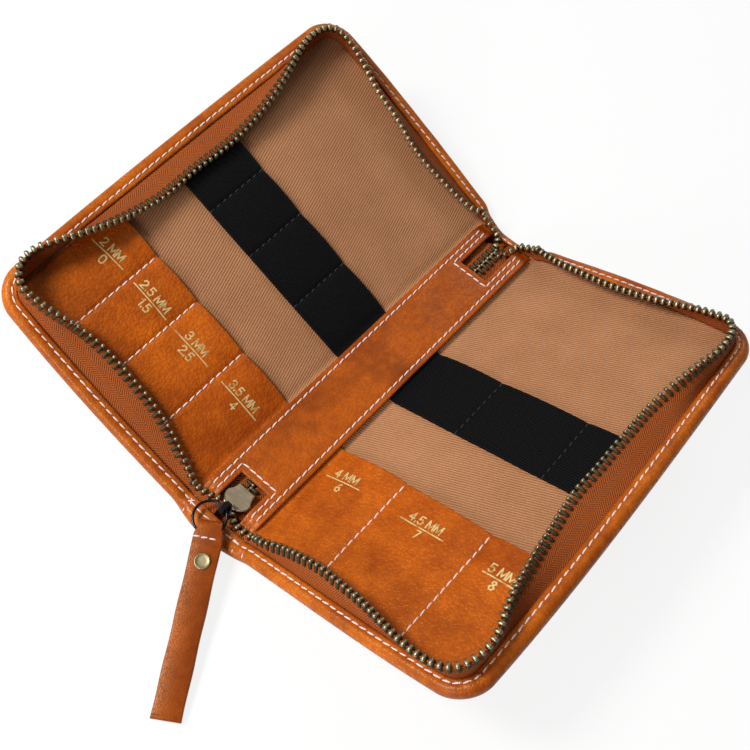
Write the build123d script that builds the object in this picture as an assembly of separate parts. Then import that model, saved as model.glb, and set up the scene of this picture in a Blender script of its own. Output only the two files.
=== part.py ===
from build123d import *
import math
import os

# Zip-around needle case, open like a book. Millimetres and degrees.
# The origin is the middle of the spine's underside. X runs across the spine, Y along it with the
# pocket end at -Y, and Z is up. Each cover is built lying flat, with its fold line on X = 0 and its
# free edge at +X, and is then raised about the fold. The left cover is its mirror image.

# ---- case
case_length = 157.0  # leather edge to leather edge, along the spine
cover_width = 89.6  # fold line to the free edge
spine_width = 26.0  # fold line to fold line
corner_radius = 11.0
open_tilt = 24.0  # how far each cover is raised from flat
edge_turn = 1.3  # slope of the leather where it turns over the edge

# ---- sheet thicknesses
leather_t = 1.4
hem_t = 1.0
board_t = 1.2
lining_t = 0.5
tape_t = 0.6
strip_t = 1.0
panel_t = 1.1
band_t = 1.1

# ---- hem, fold and spine strip
hem_width = 5.0
fold_clear = 0.15  # between the rounded fold edge of the spine and the cover's leather
stack_clear = 0.3  # between the cover's layers and the spine strip when the case is shut
strip_width = 22.4
notch_width = 11.0
notch_bottom = 20.3  # from the case's bottom edge to the inner end of the notch
notch_top = 26.8
strip_end_gap = 10.0  # from the case's edge to the ends of the strip
edge_inset = 0.8  # the spine board's edges behind the strip's edges

# ---- pockets and bands
pocket_top = 48.4  # from the case's bottom edge
pocket_slack = 1.0  # how far the panel stands off the lining in the middle of a pocket
seam_flat = 1.6  # width that a seam holds down
panel_margin = 8.4  # panel and band edges behind the cover's edge
band_bottom = 72.1
band_width = 25.0
band_slack = 0.7
left_seams = (22.3, 44.3, 63.3)  # from the fold
right_seams = (27.6, 61.2)

# ---- zip
tape_height = 8.3  # hem lip to the tape's free edge
tape_low_end = 3.2  # the same at the bottom fold, rising to the full height over tape_low_run
tape_low_run = 22.0
tape_high_end = 6.5  # the same at the top fold
tape_high_run = 9.0
tape_flange = 3.4  # tape width held under the hem
tooth_pitch = 2.54
tooth_width = 1.15
tooth_t = 2.0
tooth_head = 1.5  # beyond the tape's edge
tooth_nose = 1.1  # thickness of the head's end
tooth_leg = 1.4  # room for the teeth's legs down each side of the tape
tooth_clear = 0.08
mesh_depth = 0.45  # how far each head passes the middle of the joined chain
tail_tape = 3.9  # tape behind the joined chain's stop
stop_length = 1.6
end_slack = 0.5  # tape's ends and edges behind the bridge, the leather and the strip
cross_bend = 2.6  # length over which the tape turns from the notch to the hem
# lean of the tape towards the inside, at: bottom fold, bottom middle, corner, a quarter, half and
# three quarters of the long side, corner, top middle, top fold
left_lean = (38.0, 46.0, 6.0, 40.0, 58.0, 30.0, 0.0, 40.0, 30.0)
right_lean = (30.0, 20.0, 0.0, 28.0, 54.0, 44.0, 14.0, 38.0, 16.0)

# ---- slider
slider_nose = 9.2  # nose of the top plate, from the case's bottom edge
slider_length = 8.0
slider_width = 9.5
plate_t = 0.8
crown_t = 0.9
wall_t = 0.7
slide_clear = 0.1
channel_clear = 0.2
slot_clear = 0.15
bridge_width = 1.8
bridge_length = 2.0
bridge_inset = 0.1  # behind the plates' nose
cheek_share = 0.38  # of the slider's length, where the plates are widest
shoulder_share = 0.56
wall_share = 0.58  # of the slider's length, where the side walls start
shoulder_curve = 0.25
crown_slope = 0.3
bail_length = 3.8
bail_wire = 0.9
bail_width = 1.6
bail_eye = 2.0  # opening that the ring passes through

# ---- ring, strap and rivet
ring_radius = 5.2
ring_wire = 0.6  # radius
ring_sides = 6
ring_turn = 16.0  # ring's centre from -Y, towards -X
strap_turn = 33.0  # strap from -Y, towards +X
strap_width = 9.7
strap_length = 54.8  # from the ring's wire
strap_t = 1.15
strap_clear = 0.15  # between the wire and the leather
strap_lift = 1.0  # of the ring's eye over the fold of the strap lying on the hem
fold_depth = 3.3  # from the ring's wire back to the inside of the fold
fold_width = 8.2
eye_length = 4.2
rivet_from_wire = 8.6
rivet_cap = 3.1  # radius
rivet_dome = 0.9
rivet_shank = 1.1
rivet_rim_share = 0.4  # of the dome's height, upright at its rim
rivet_foot_share = 0.85  # of the cap's radius
rivet_crown_share = 0.6

# ---- levels and places that follow
half_length = case_length / 2
half_spine = spine_width / 2
fold_z = leather_t / 2
leather_start = fold_z + fold_clear
board_top = leather_t + board_t
lining_top = board_top + lining_t
hem_bottom = lining_top + tape_t
cover_top = hem_bottom + hem_t
chain_z = leather_t + slide_clear + plate_t + slide_clear + tooth_t / 2
chain_top = chain_z + tooth_t / 2
strip_bottom = chain_top + slide_clear
spine_top = strip_bottom + strip_t
spine_hem_bottom = chain_z + tape_t / 2
spine_hem_top = spine_hem_bottom + hem_t
fold_half = ring_wire + strap_clear + strap_t
stack_start = spine_top - fold_z + stack_clear
lip_radius = corner_radius - hem_width
lip_out = cover_width - hem_width
lip_side = half_length - hem_width
tape_edge_x = tooth_head - mesh_depth
chain_half = tape_edge_x + tooth_leg
notch_low_y = notch_bottom - half_length
notch_high_y = half_length - notch_top
nose_y = slider_nose - half_length


def cover_outline(inset, start):
    """Plan of a cover layer: a rectangle with its two free corners rounded."""
    out = cover_width - inset
    half = half_length - inset
    plan = Pos((start + out) / 2, 0) * Rectangle(out - start, 2 * half)
    corners = plan.vertices().sort_by(Axis.X)[-2:]
    return fillet(corners, max(corner_radius - inset, 0.5))


def layer(inset, start, bottom, thickness):
    return Pos(0, 0, bottom) * extrude(cover_outline(inset, start), thickness)


def block(x0, x1, y0, y1, z0, z1):
    return Pos((x0 + x1) / 2, (y0 + y1) / 2, (z0 + z1) / 2) * Box(x1 - x0, y1 - y0, z1 - z0)


def slope_edges(solid, wanted, size):
    return chamfer([e for e in solid.edges() if wanted(e.center())], size)


# ---- covers


def cover_leather():
    """Outer leather: a sheet that turns up over three edges and back inwards as the hem."""
    body = layer(0, leather_start, 0, cover_top)

    def outer_rim(c):
        at_end = c.Z < 0.01 or c.Z > cover_top - 0.01
        return at_end and c.X > leather_start + 0.01

    body = slope_edges(body, outer_rim, edge_turn)
    body -= layer(leather_t, 0, leather_t, hem_bottom - leather_t)
    body -= layer(hem_width, 0, leather_t, cover_top)
    body -= block(0, stack_start, -case_length, case_length, leather_t, 2 * cover_top)
    return body


def cover_board():
    return layer(leather_t, stack_start, leather_t, board_t)


def cover_lining():
    return layer(leather_t, stack_start, board_top, lining_t)


def held_down(seams, start, end, slack, thickness, low_y, height):
    """A sheet on the lining, held flat at its ends and seams and arched between them."""
    half = seam_flat / 2
    stops = [start] + [s + d for s in seams for d in (-half, half)] + [end]
    under, over = [], []
    for i, (a, b) in enumerate(zip(stops[:-1], stops[1:])):
        if i % 2:
            under.append(Line((a, 0), (b, 0)))
            over.append(Line((a, thickness), (b, thickness)))
        else:
            mid = (a + b) / 2
            under.append(ThreePointArc((a, 0), (mid, slack), (b, 0)))
            over.append(ThreePointArc((a, thickness), (mid, slack + thickness), (b, thickness)))
    ends = [Line((start, 0), (start, thickness)), Line((end, 0), (end, thickness))]
    face = make_face(under + over + ends)
    solid = extrude(Plane.XZ * face, -height)
    return Pos(0, low_y, lining_top) * solid


def pocket_panel(seams):
    low = panel_margin - half_length
    end = cover_width - panel_margin
    height = pocket_top - panel_margin
    return held_down(seams, stack_start, end, pocket_slack, panel_t, low, height)


def elastic_band(seams):
    end = cover_width - panel_margin
    low = band_bottom - half_length
    return held_down(seams, stack_start, end, band_slack, band_t, low, band_width)


# ---- zip on the covers


side_run = lip_out - lip_radius - stack_start
corner_run = lip_radius * math.pi / 2
long_run = 2 * (lip_side - lip_radius)
rim_run = 2 * side_run + 2 * corner_run + long_run


def rim_point(s):
    """Point on the hem's lip at the distance s from the bottom fold, and the way inwards."""
    if s <= side_run:
        return (stack_start + s, -lip_side), (0, 1)
    s -= side_run
    if s < corner_run:
        a = s / lip_radius
        cx, cy = lip_out - lip_radius, -lip_side + lip_radius
        out = (math.sin(a), -math.cos(a))
        return (cx + lip_radius * out[0], cy + lip_radius * out[1]), (-out[0], -out[1])
    s -= corner_run
    if s <= long_run:
        return (lip_out, -lip_side + lip_radius + s), (-1, 0)
    s -= long_run
    if s < corner_run:
        a = s / lip_radius
        cx, cy = lip_out - lip_radius, lip_side - lip_radius
        out = (math.cos(a), math.sin(a))
        return (cx + lip_radius * out[0], cy + lip_radius * out[1]), (-out[0], -out[1])
    s -= corner_run
    return (lip_out - lip_radius - s, lip_side), (0, -1)


def lean_keys():
    corner_a = side_run + corner_run / 2
    corner_b = rim_run - corner_a
    quarters = [corner_a + (corner_b - corner_a) * i / 4 for i in range(5)]
    return (0, side_run / 2, *quarters, rim_run - side_run / 2, rim_run)


def lean_at(s, leans):
    """Lean of the tape at s, eased by a cosine between the named values."""
    keys = lean_keys()
    last = len(keys) - 2
    for k in range(last + 1):
        if s <= keys[k + 1] or k == last:
            t = min(max((s - keys[k]) / (keys[k + 1] - keys[k]), 0), 1)
            ease = (1 - math.cos(math.pi * t)) / 2
            return math.radians(leans[k] + (leans[k + 1] - leans[k]) * ease)


def height_at(s):
    """Width of tape that shows at s: less at both folds, where it comes down to the spine."""
    low = max(1 - s / tape_low_run, 0)
    high = max(1 - (rim_run - s) / tape_high_run, 0)
    return tape_height - (tape_height - tape_low_end) * low - (tape_height - tape_high_end) * high


def tape_points(s, leans):
    """Corners of the tape's section at s: a flat flange under the hem and a leaning wall."""
    (x, y), (nx, ny) = rim_point(s)
    lean = lean_at(s, leans)
    height = height_at(s)
    sin, cos = math.sin(lean), math.cos(lean)
    back = tape_t * (sin - 1) / cos
    pairs = [
        (-tape_flange, lining_top),
        (tape_t * cos + back * sin, lining_top),
        (height * sin + tape_t * cos, hem_bottom + height * cos - tape_t * sin),
        (height * sin, hem_bottom + height * cos),
        (0, hem_bottom),
        (-tape_flange, hem_bottom),
    ]
    return [Vector(x + p * nx, y + p * ny, z) for p, z in pairs]


def rim_stations():
    """Distances at which the tape's section is set: closer together round the corners."""
    first_corner = side_run
    second_corner = side_run + corner_run + long_run
    stations = [side_run * i / 5 for i in range(5)]
    stations += [first_corner + corner_run * i / 5 for i in range(5)]
    stations += [first_corner + corner_run + long_run * i / 8 for i in range(8)]
    stations += [second_corner + corner_run * i / 5 for i in range(5)]
    stations += [rim_run - side_run + side_run * i / 5 for i in range(6)]
    return stations


def zip_tape(leans):
    wires = [Wire.make_polygon(tape_points(s, leans)) for s in rim_stations()]
    return Solid.make_loft(wires, True)


def tape_edge(leans):
    """The tape's free edge: for each station its distance along the edge, middle and way up."""
    line = []
    for s in rim_stations():
        p = tape_points(s, leans)
        middle, up = (p[2] + p[3]) * 0.5, (p[3] - p[4]).normalized()
        run = line[-1][0] + (middle - line[-1][1]).length if line else 0
        line.append((run, middle, up))
    return line


def edge_at(line, run):
    """Point and way up at a distance along the tape's free edge."""
    k = max(i for i in range(len(line) - 1) if line[i][0] <= run)
    t = (run - line[k][0]) / (line[k + 1][0] - line[k][0])
    return tuple(line[k][j] + (line[k + 1][j] - line[k][j]) * t for j in (1, 2))


def zip_tooth(plane):
    """One tooth: a wedge from the tape's edge to the narrower end of its head.

    The plane's X runs along the chain, Y through the tape and Z from the tape towards the head.
    """
    half = tooth_t / 2
    nose = tooth_nose / 2
    right = [(half, tooth_clear), (nose, tooth_head)]
    left = [(-y, z) for y, z in reversed(right)]
    section = plane.location * (Plane.YZ * make_face(Polyline(*right, *left, close=True)))
    return extrude(section, tooth_width / 2, both=True).solid()


def cover_teeth(leans, first):
    """Teeth of one cover, a pitch apart along the tape's free edge."""
    line = tape_edge(leans)
    half = tooth_width / 2
    count = int((line[-1][0] - first - half) / tooth_pitch) + 1
    teeth = []
    for i in range(count):
        run = first + i * tooth_pitch
        (start, up_a), (end, up_b) = edge_at(line, run - half), edge_at(line, run + half)
        along, up = (end - start).normalized(), up_a + up_b
        up = (up - along * up.dot(along)).normalized()
        teeth.append(zip_tooth(Plane(origin=(start + end) * 0.5, x_dir=along, z_dir=up)))
    return Compound(teeth)


# ---- spine


def spine_leather():
    """Middle of the outer leather, rounded along both folds, with a hem at each end."""
    sheet = block(-half_spine, half_spine, -half_length, half_length, 0, leather_t)
    for side in (-1, 1):
        roll = Pos(side * half_spine, 0, fold_z) * Rot(90, 0, 0) * Cylinder(fold_z, case_length)
        sheet += roll
    half = half_spine - fold_z - fold_clear
    for side in (-1, 1):
        end = block(-half, half, half_length - hem_width, half_length, 0, spine_hem_top)
        slot = block(-half, half, 0, half_length - leather_t, leather_t, spine_hem_bottom)
        end = slope_edges(end, lambda c: c.Y > half_length - 0.01 and c.Z > 0.01
                          and abs(c.X) < 0.01, edge_turn) - slot
        sheet += turned_end(end, side)
    return sheet


def spine_board():
    half = strip_width / 2 - edge_inset
    low = notch_low_y + tail_tape + stop_length + tape_t
    high = notch_high_y - tail_tape - stop_length - tape_t
    return block(-half, half, low, high, leather_t, strip_bottom)


def spine_strip():
    """Inner leather strip with a notch at each end, over the joined ends of the zip."""
    half = strip_width / 2
    end = half_length - strip_end_gap
    strip = block(-half, half, -end, end, strip_bottom, spine_top)
    notch = notch_width / 2
    strip -= block(-notch, notch, -half_length, notch_low_y, 0, 2 * spine_top)
    strip -= block(-notch, notch, notch_high_y, half_length, 0, 2 * spine_top)
    return strip


def end_layout(bottom):
    """Inner end of the notch, and the sign that turns the bottom layout to either end."""
    return (notch_low_y, 1) if bottom else (-notch_high_y, -1)


def turned_end(piece, sign):
    return piece if sign > 0 else Rot(0, 0, 180) * piece


# Where the chain leaves the spine its tape runs along the hem's lip, the tape edge inwards.
cross_y = tooth_leg + tooth_clear - half_length + hem_width + slide_clear
neck_x = bridge_width / 2 + end_slack
cross_x = neck_x + cross_bend


def end_tape(bottom):
    """Both tapes at one end of the spine: beside the joined chain, then along the hem."""
    inner, sign = end_layout(bottom)
    tail = inner + tail_tape + stop_length
    leg = strip_end_gap - half_length + end_slack
    out = half_spine - fold_z
    under = strip_width / 2
    low = leather_t - half_length + end_slack
    right = [
        (tape_edge_x, tail),
        (tape_edge_x, leg + cross_bend / 2),
        (neck_x, cross_y),
        (neck_x, low),
        (out, low),
        (out, cross_y),
        (cross_x, cross_y),
        (cross_x - end_slack, leg),
        (under, leg),
        (under, tail),
    ]
    face = make_face(Polyline(*right, close=True))
    half = Pos(0, 0, chain_z - tape_t / 2) * extrude(face, tape_t)
    both = [half.solid(), mirror(half, Plane.YZ).solid()]
    return Compound(both if bottom else [mirror(s, Plane.XZ).solid() for s in both])


def end_teeth(bottom):
    """Joined teeth in the notch, and on each side the open teeth that cross to the cover."""
    inner, sign = end_layout(bottom)
    teeth = []
    start = nose_y + bridge_length + tooth_pitch + tooth_width / 2
    last = inner + tail_tape - tooth_pitch / 2
    joined = int((last - start) / tooth_pitch) + 1
    first_x = cross_x + tooth_width / 2 + tooth_clear
    crossing = int((half_spine - fold_z - tooth_width / 2 - first_x) / tooth_pitch) + 1
    for side in (-1, 1):
        stagger = tooth_pitch / 2 if side > 0 else 0
        for i in range(joined):
            place = (side * tape_edge_x, sign * (last - i * tooth_pitch - stagger), chain_z)
            teeth.append(zip_tooth(Plane(origin=place, x_dir=(0, 1, 0), z_dir=(-side, 0, 0))))
        for i in range(crossing):
            place = (side * (first_x + i * tooth_pitch), sign * cross_y, chain_z)
            teeth.append(zip_tooth(Plane(origin=place, x_dir=(1, 0, 0), z_dir=(0, sign, 0))))
    return Compound(teeth)


def zip_stop(bottom):
    """Metal stop clamped over both tape edges behind the last joined tooth."""
    inner, sign = end_layout(bottom)
    y0 = inner + tail_tape
    stop = block(-chain_half, chain_half, y0, y0 + stop_length, chain_z - tooth_t / 2, chain_top)
    slot = tape_t / 2 + tooth_clear
    for side in (-1, 1):
        x0, x1 = sorted((side * (tape_edge_x - tooth_clear), side * 2 * chain_half))
        stop -= block(x0, x1, y0 - 1, y0 + 2 * stop_length, chain_z - slot, chain_z + slot)
    return turned_end(stop, sign)


# ---- slider


def shield(nose, length, half_wide, half_tail):
    """Plan of a slider plate: a round nose at -Y, concave shoulders and a straight tail."""
    cheek = nose + length * cheek_share
    shoulder = nose + length * shoulder_share
    tail = nose + length
    waist = (half_wide + half_tail) / 2 - shoulder_curve
    edges = [
        ThreePointArc((-half_wide, cheek), (0, nose), (half_wide, cheek)),
        Line((half_wide, cheek), (half_wide, shoulder)),
        ThreePointArc(
            (half_wide, shoulder),
            (waist, (shoulder + tail) / 2 - shoulder_curve),
            (half_tail, tail),
        ),
        Line((half_tail, tail), (-half_tail, tail)),
        ThreePointArc(
            (-half_tail, tail),
            (-waist, (shoulder + tail) / 2 - shoulder_curve),
            (-half_wide, shoulder),
        ),
        Line((-half_wide, shoulder), (-half_wide, cheek)),
    ]
    return make_face(edges)


def slider_body():
    """Top and bottom plates joined by a bridge at the nose, with walls along the tail."""
    channel = chain_half + channel_clear
    half_tail = channel + wall_t
    plan = shield(nose_y, slider_length, slider_width / 2, half_tail)
    low = chain_z - tooth_t / 2 - slide_clear
    high = chain_top + slide_clear
    bottom = Pos(0, 0, low - plate_t) * extrude(plan, plate_t)
    top = Pos(0, 0, high) * extrude(plan, crown_t)
    top = slope_edges(top, lambda c: c.Z > high + crown_t - 0.01, crown_slope)
    slot = tape_t / 2 + slot_clear
    tail = nose_y + slider_length
    y0 = nose_y + slider_length * wall_share
    body = top + bottom
    for side in (-1, 1):
        x0, x1 = sorted((side * channel, side * half_tail))
        body += block(x0, x1, y0, tail, low, chain_z - slot)
        body += block(x0, x1, y0, tail, chain_z + slot, high)
    bridge = Pos(0, nose_y + bridge_inset + bridge_length / 2, (low + high) / 2)
    body += bridge * Box(bridge_width, bridge_length, high - low)
    return body


bail_z = spine_hem_top + fold_half + strap_lift
bail_y = nose_y - bail_length + bail_wire + bail_eye / 2


def slider_bail():
    """Upright lug on the slider's nose with an eye that the ring passes through."""
    y0, y1 = nose_y - bail_length, nose_y + bail_wire / 2
    half = bail_eye / 2
    lug = block(-bail_width / 2, bail_width / 2, y0, y1, chain_top, bail_z + half + bail_wire)
    lug = slope_edges(lug, lambda c: abs(c.X) < 0.01 and c.Z > bail_z, bail_wire)
    lug -= block(-bail_width, bail_width, bail_y - half, bail_y + half, bail_z - half, bail_z + half)
    return lug - slider_body()


# ---- ring, strap and rivet. All three lie in one plane that falls from the slider's eye to where
# the strap's end rests on the table.


def level_way(turn):
    return Vector(math.sin(math.radians(turn)), -math.cos(math.radians(turn)), 0)


def pull_plane():
    """Plane of the ring: X is across the strap, Y runs down it and the origin is the eye."""
    way = level_way(strap_turn)
    reach = ring_radius * math.cos(math.radians(ring_turn + strap_turn)) + ring_radius + strap_length
    slope = math.atan2(bail_z - strap_t, reach)
    down = Vector(way.X * math.cos(slope), way.Y * math.cos(slope), -math.sin(slope))
    across = down.cross(Vector(0, 0, 1)).normalized()
    return Plane(origin=(0, bail_y, bail_z), x_dir=across, z_dir=across.cross(down))


def ring_centre():
    plane = pull_plane()
    way = level_way(-ring_turn)
    along = (way - plane.z_dir * way.dot(plane.z_dir)).normalized()
    return plane.origin + along * ring_radius


def ring_plane():
    plane = pull_plane()
    return Plane(origin=ring_centre(), x_dir=plane.x_dir, z_dir=plane.z_dir)


def strap_plane():
    """Plane whose X runs down the strap from the ring's wire, and whose Z is its top side."""
    ring = ring_plane()
    down = ring.y_dir
    return Plane(origin=ring.origin + down * ring_radius, x_dir=down, z_dir=ring.z_dir)


def pull_ring():
    """Wire ring, its section a regular polygon with ring_sides sides."""
    section = Pos(ring_radius, 0) * RegularPolygon(ring_wire, ring_sides)
    return ring_plane().location * revolve(Plane.XZ * section, Axis.Z)


def pull_strap():
    """Strap folded double round the ring. The fold passes through the ring, and is narrower."""
    inner = ring_wire + strap_clear
    back = -fold_depth + inner
    top = [
        ThreePointArc((back, -fold_half), (back - fold_half, 0), (back, fold_half)),
        Line((back, fold_half), (inner, fold_half)),
        Line((inner, fold_half), (eye_length, strap_t)),
        Line((eye_length, strap_t), (strap_length, strap_t)),
        Line((strap_length, strap_t), (strap_length, -strap_t)),
        Line((strap_length, -strap_t), (eye_length, -strap_t)),
        Line((eye_length, -strap_t), (inner, -fold_half)),
        Line((inner, -fold_half), (back, -fold_half)),
    ]
    eye = [
        ThreePointArc((back, -inner), (back - inner, 0), (back, inner)),
        Line((back, inner), (inner, inner)),
        Line((inner, inner), (eye_length, 0)),
        Line((eye_length, 0), (inner, -inner)),
        Line((inner, -inner), (back, -inner)),
    ]
    face = make_face(top) - make_face(eye)
    strap = extrude(Plane.XZ * face, strap_width / 2, both=True)
    wide, narrow = strap_width / 2, fold_width / 2
    plan = Polyline((2 * back - fold_half, narrow), (back, narrow), (inner, wide), (strap_length, wide),
                    (strap_length, -wide), (inner, -wide), (back, -narrow),
                    (2 * back - fold_half, -narrow), close=True)
    strap &= Pos(0, 0, -2 * fold_half) * extrude(make_face(plan), 4 * fold_half)
    strap -= Pos(rivet_from_wire, 0, 0) * Cylinder(rivet_shank + tooth_clear, 6 * strap_t)
    return strap_plane().location * strap


def pull_rivet():
    """Rivet through both layers: a domed cap on top, a shank and a flat foot."""
    rim = rivet_dome * rivet_rim_share
    foot = rivet_cap * rivet_foot_share
    crown = rivet_cap * rivet_crown_share
    rivet = Cylinder(rivet_shank, 2 * strap_t)
    rivet += Pos(0, 0, -strap_t - rim / 2) * Cylinder(foot, rim)
    rivet += Pos(0, 0, strap_t + rim / 2) * Cylinder(rivet_cap, rim)
    rise = rivet_dome - rim
    rivet += Pos(0, 0, strap_t + rim + rise / 2) * Cone(rivet_cap, crown, rise)
    return strap_plane().location * (Pos(rivet_from_wire, 0, 0) * rivet)


# ---- placing and writing


def raised(piece, left):
    """Turn a flat cover piece up about its fold, on the right or, mirrored, on the left."""
    lifted = Pos(half_spine, 0, fold_z) * Rot(0, -open_tilt, 0) * Pos(0, 0, -fold_z) * piece
    return mirror(lifted, Plane.YZ) if left else lifted


def write(name, piece):
    export_step(piece, f"parts/{name}.step")


def write_cover(side, seams, leans, first_tooth):
    left = side == "left"
    pieces = {
        "leather": cover_leather(),
        "board": cover_board(),
        "lining": cover_lining(),
        "pocket_panel": pocket_panel(seams),
        "elastic_band": elastic_band(seams),
        "zip_tape": zip_tape(leans),
        "zip_teeth": cover_teeth(leans, first_tooth),
    }
    for name, piece in pieces.items():
        write(f"{side}_{name}", raised(piece, left))


os.makedirs("parts", exist_ok=True)
write_cover("left", left_seams, left_lean, tooth_width)
write_cover("right", right_seams, right_lean, tooth_width + tooth_pitch / 2)
write("spine_leather", spine_leather())
write("spine_board", spine_board())
write("spine_strip", spine_strip())
for end in ("bottom", "top"):
    write(f"zip_end_tape_{end}", end_tape(end == "bottom"))
    write(f"zip_end_teeth_{end}", end_teeth(end == "bottom"))
    write(f"zip_stop_{end}", zip_stop(end == "bottom"))
write("slider_body", slider_body())
write("slider_bail", slider_bail())
write("pull_ring", pull_ring())
write("pull_strap", pull_strap())
write("pull_rivet", pull_rivet())
turn = pull_plane()
centre = ring_centre()
swing = turn.z_dir.cross(centre - turn.origin).normalized()
for name, v in (("ring eye", turn.origin), ("ring swing axis", swing), ("ring centre", centre),
                ("strap turn axis", turn.z_dir), ("strap way", strap_plane().x_dir)):
    print(name, [round(c, 4) for c in (v.X, v.Y, v.Z)])
print("fold height", fold_z, "layers start", round(stack_start, 3), "spine top", round(spine_top, 3))
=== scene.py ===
import math
import bmesh
import bpy
import numpy as np
from mathutils import Matrix, Vector


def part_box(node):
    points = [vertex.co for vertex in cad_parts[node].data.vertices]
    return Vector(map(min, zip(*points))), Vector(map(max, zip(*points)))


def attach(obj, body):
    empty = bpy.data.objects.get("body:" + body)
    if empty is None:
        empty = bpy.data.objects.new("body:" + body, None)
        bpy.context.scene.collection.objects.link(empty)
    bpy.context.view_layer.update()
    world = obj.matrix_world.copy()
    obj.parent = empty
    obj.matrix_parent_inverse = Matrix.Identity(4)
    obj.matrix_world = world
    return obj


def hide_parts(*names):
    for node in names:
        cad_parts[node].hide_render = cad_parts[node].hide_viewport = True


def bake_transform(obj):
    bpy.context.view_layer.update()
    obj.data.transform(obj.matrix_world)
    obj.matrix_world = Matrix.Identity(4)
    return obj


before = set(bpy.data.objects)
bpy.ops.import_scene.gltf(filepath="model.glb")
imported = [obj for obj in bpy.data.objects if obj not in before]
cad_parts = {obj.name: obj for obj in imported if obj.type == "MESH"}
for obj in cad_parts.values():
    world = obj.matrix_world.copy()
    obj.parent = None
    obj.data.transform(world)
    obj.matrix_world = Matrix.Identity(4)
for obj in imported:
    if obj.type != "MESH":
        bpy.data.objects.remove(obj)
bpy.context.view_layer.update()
bodies = {"left": "left_cover", "right": "right_cover"}
print("frame loaded")

# sizes in millimetres; d is the distance from a cover's fold, y runs along the spine,
# h is the height over the underside of the leather
case = {
    "halfLength": 78.5, "halfSpine": 13.0, "cover": 89.6, "corner": 11.0, "tilt": 24.0,
    "foldHeight": 0.7, "foldReach": 4.0, "stackStart": 5.1, "stitchInset": 3.35,
}
spineJoin = -case["foldReach"]  # where a cover's skin meets the spine's
# how far the worn covers are out of square, in millimetres: the long side's shift, its slant,
# bow and twist, then the top side's three terms and the bottom side's
worn = {
    "left": (1.24, 2.26, -0.81, 0.02, 5.20, 0.18, -3.16, -2.43, 3.01, 1.01),
    "right": (0.24, -2.74, -1.92, 1.14, 2.06, 1.61, -7.67, 1.38, -3.18, 4.26),
}


def smooth(x):
    # soft step from 0 to 1: three times the square less twice the cube
    x = np.clip(x, 0, 1)
    return x * x * (3 - 2 * x)


def bell(x, width):
    # 1 at zero, falling off with the square of the distance in widths
    return np.exp(-(x / width) ** 2)


def unit(v):
    # a vector over its length
    return v / np.maximum(np.linalg.norm(v, axis=-1, keepdims=True), 1e-9)


def runAlong(points):
    # length of the line up to each of its points: the steps' lengths added up
    return np.concatenate([[0], np.cumsum(np.linalg.norm(np.diff(points, axis=0), axis=1))])


def squared(up, way):
    # the part of one way that is square to the other, as a unit vector
    return unit(up - way * (up * way).sum(axis=-1, keepdims=True))


def pick(at, run, values):
    # values of a line, column by column, at the given lengths along it
    return np.stack([np.interp(at, run, column) for column in values.T], axis=-1)


def roundOver(depth, width):
    # how far a rounded edge has dropped, as a share: a quarter circle over its width
    return 1 - np.sqrt(1 - np.clip(1 - depth / width, 0, 1) ** 2)


# the spine's ends: how far the top one is drawn in and flattened, and how far the leather at
# the bottom one is pushed out
ends = {"draw": 4.2, "flat": 0.3, "from": 69.0, "over": 8.0, "drawFrom": 5.0, "drawOver": 16.0,
        "push": 2.1, "pushFrom": 4.0, "pushOver": 13.0, "pushEnd": 71.0}


def spineEnds(d, y, h):
    # both ends move by a soft step along the spine times a soft step towards its middle
    share = smooth((ends["drawFrom"] - d) / ends["drawOver"]) * smooth((y - ends["from"]) / ends["over"])
    out = smooth((ends["pushFrom"] - d) / ends["pushOver"]) * smooth((-y - ends["pushEnd"]) / ends["over"])
    return y - ends["draw"] * share - ends["push"] * out, h * (1 - ends["flat"] * share)


def outOfSquare(d, y, side):
    # shifts that grow with the cube of the distance from the fold and from the cover's middle
    k = worn[side]
    out = np.clip(d / case["cover"], 0, 1.05)
    up = y / case["halfLength"]
    far, near = out ** 3, np.abs(up) ** 3
    long = far * (k[0] + k[1] * up + k[2] * up ** 2 + k[3] * up ** 3)
    top = k[4] * out + k[5] * out ** 2 + k[6] * out ** 3
    bottom = k[7] * out + k[8] * out ** 2 + k[9] * out ** 3
    return d + long, y + near * np.where(y > 0, top, bottom)


def fold(d, y, h, side):
    # a flat place is turned about the fold line by the tilt; within foldReach of the fold the
    # flat and the turned place are mixed by the soft step
    d, y, h = np.broadcast_arrays(np.asarray(d, float), np.asarray(y, float), np.asarray(h, float))
    d, y = outOfSquare(d, y, side)
    y, h = spineEnds(d, y, h)
    a = math.radians(case["tilt"])
    up = h - case["foldHeight"]
    w = smooth((d + case["foldReach"]) / (2 * case["foldReach"]))
    x = d + w * (d * math.cos(a) - up * math.sin(a) - d)
    z = up + w * (d * math.sin(a) + up * math.cos(a) - up)
    x = x + case["halfSpine"]
    return np.stack([-x if side == "left" else x, y, z + case["foldHeight"]], axis=-1)


# ---- meshes


def gridFaces(n, m, closedU=False, closedV=False, start=0):
    # quads between neighbouring rows and columns of an n by m grid of points
    i = np.arange(n if closedU else n - 1)[:, None]
    j = np.arange(m if closedV else m - 1)[None, :]
    i2, j2 = (i + 1) % n, (j + 1) % m
    quads = np.stack([i * m + j, i2 * m + j, i2 * m + j2, i * m + j2], axis=-1)
    return quads.reshape(-1, 4) + start


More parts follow.
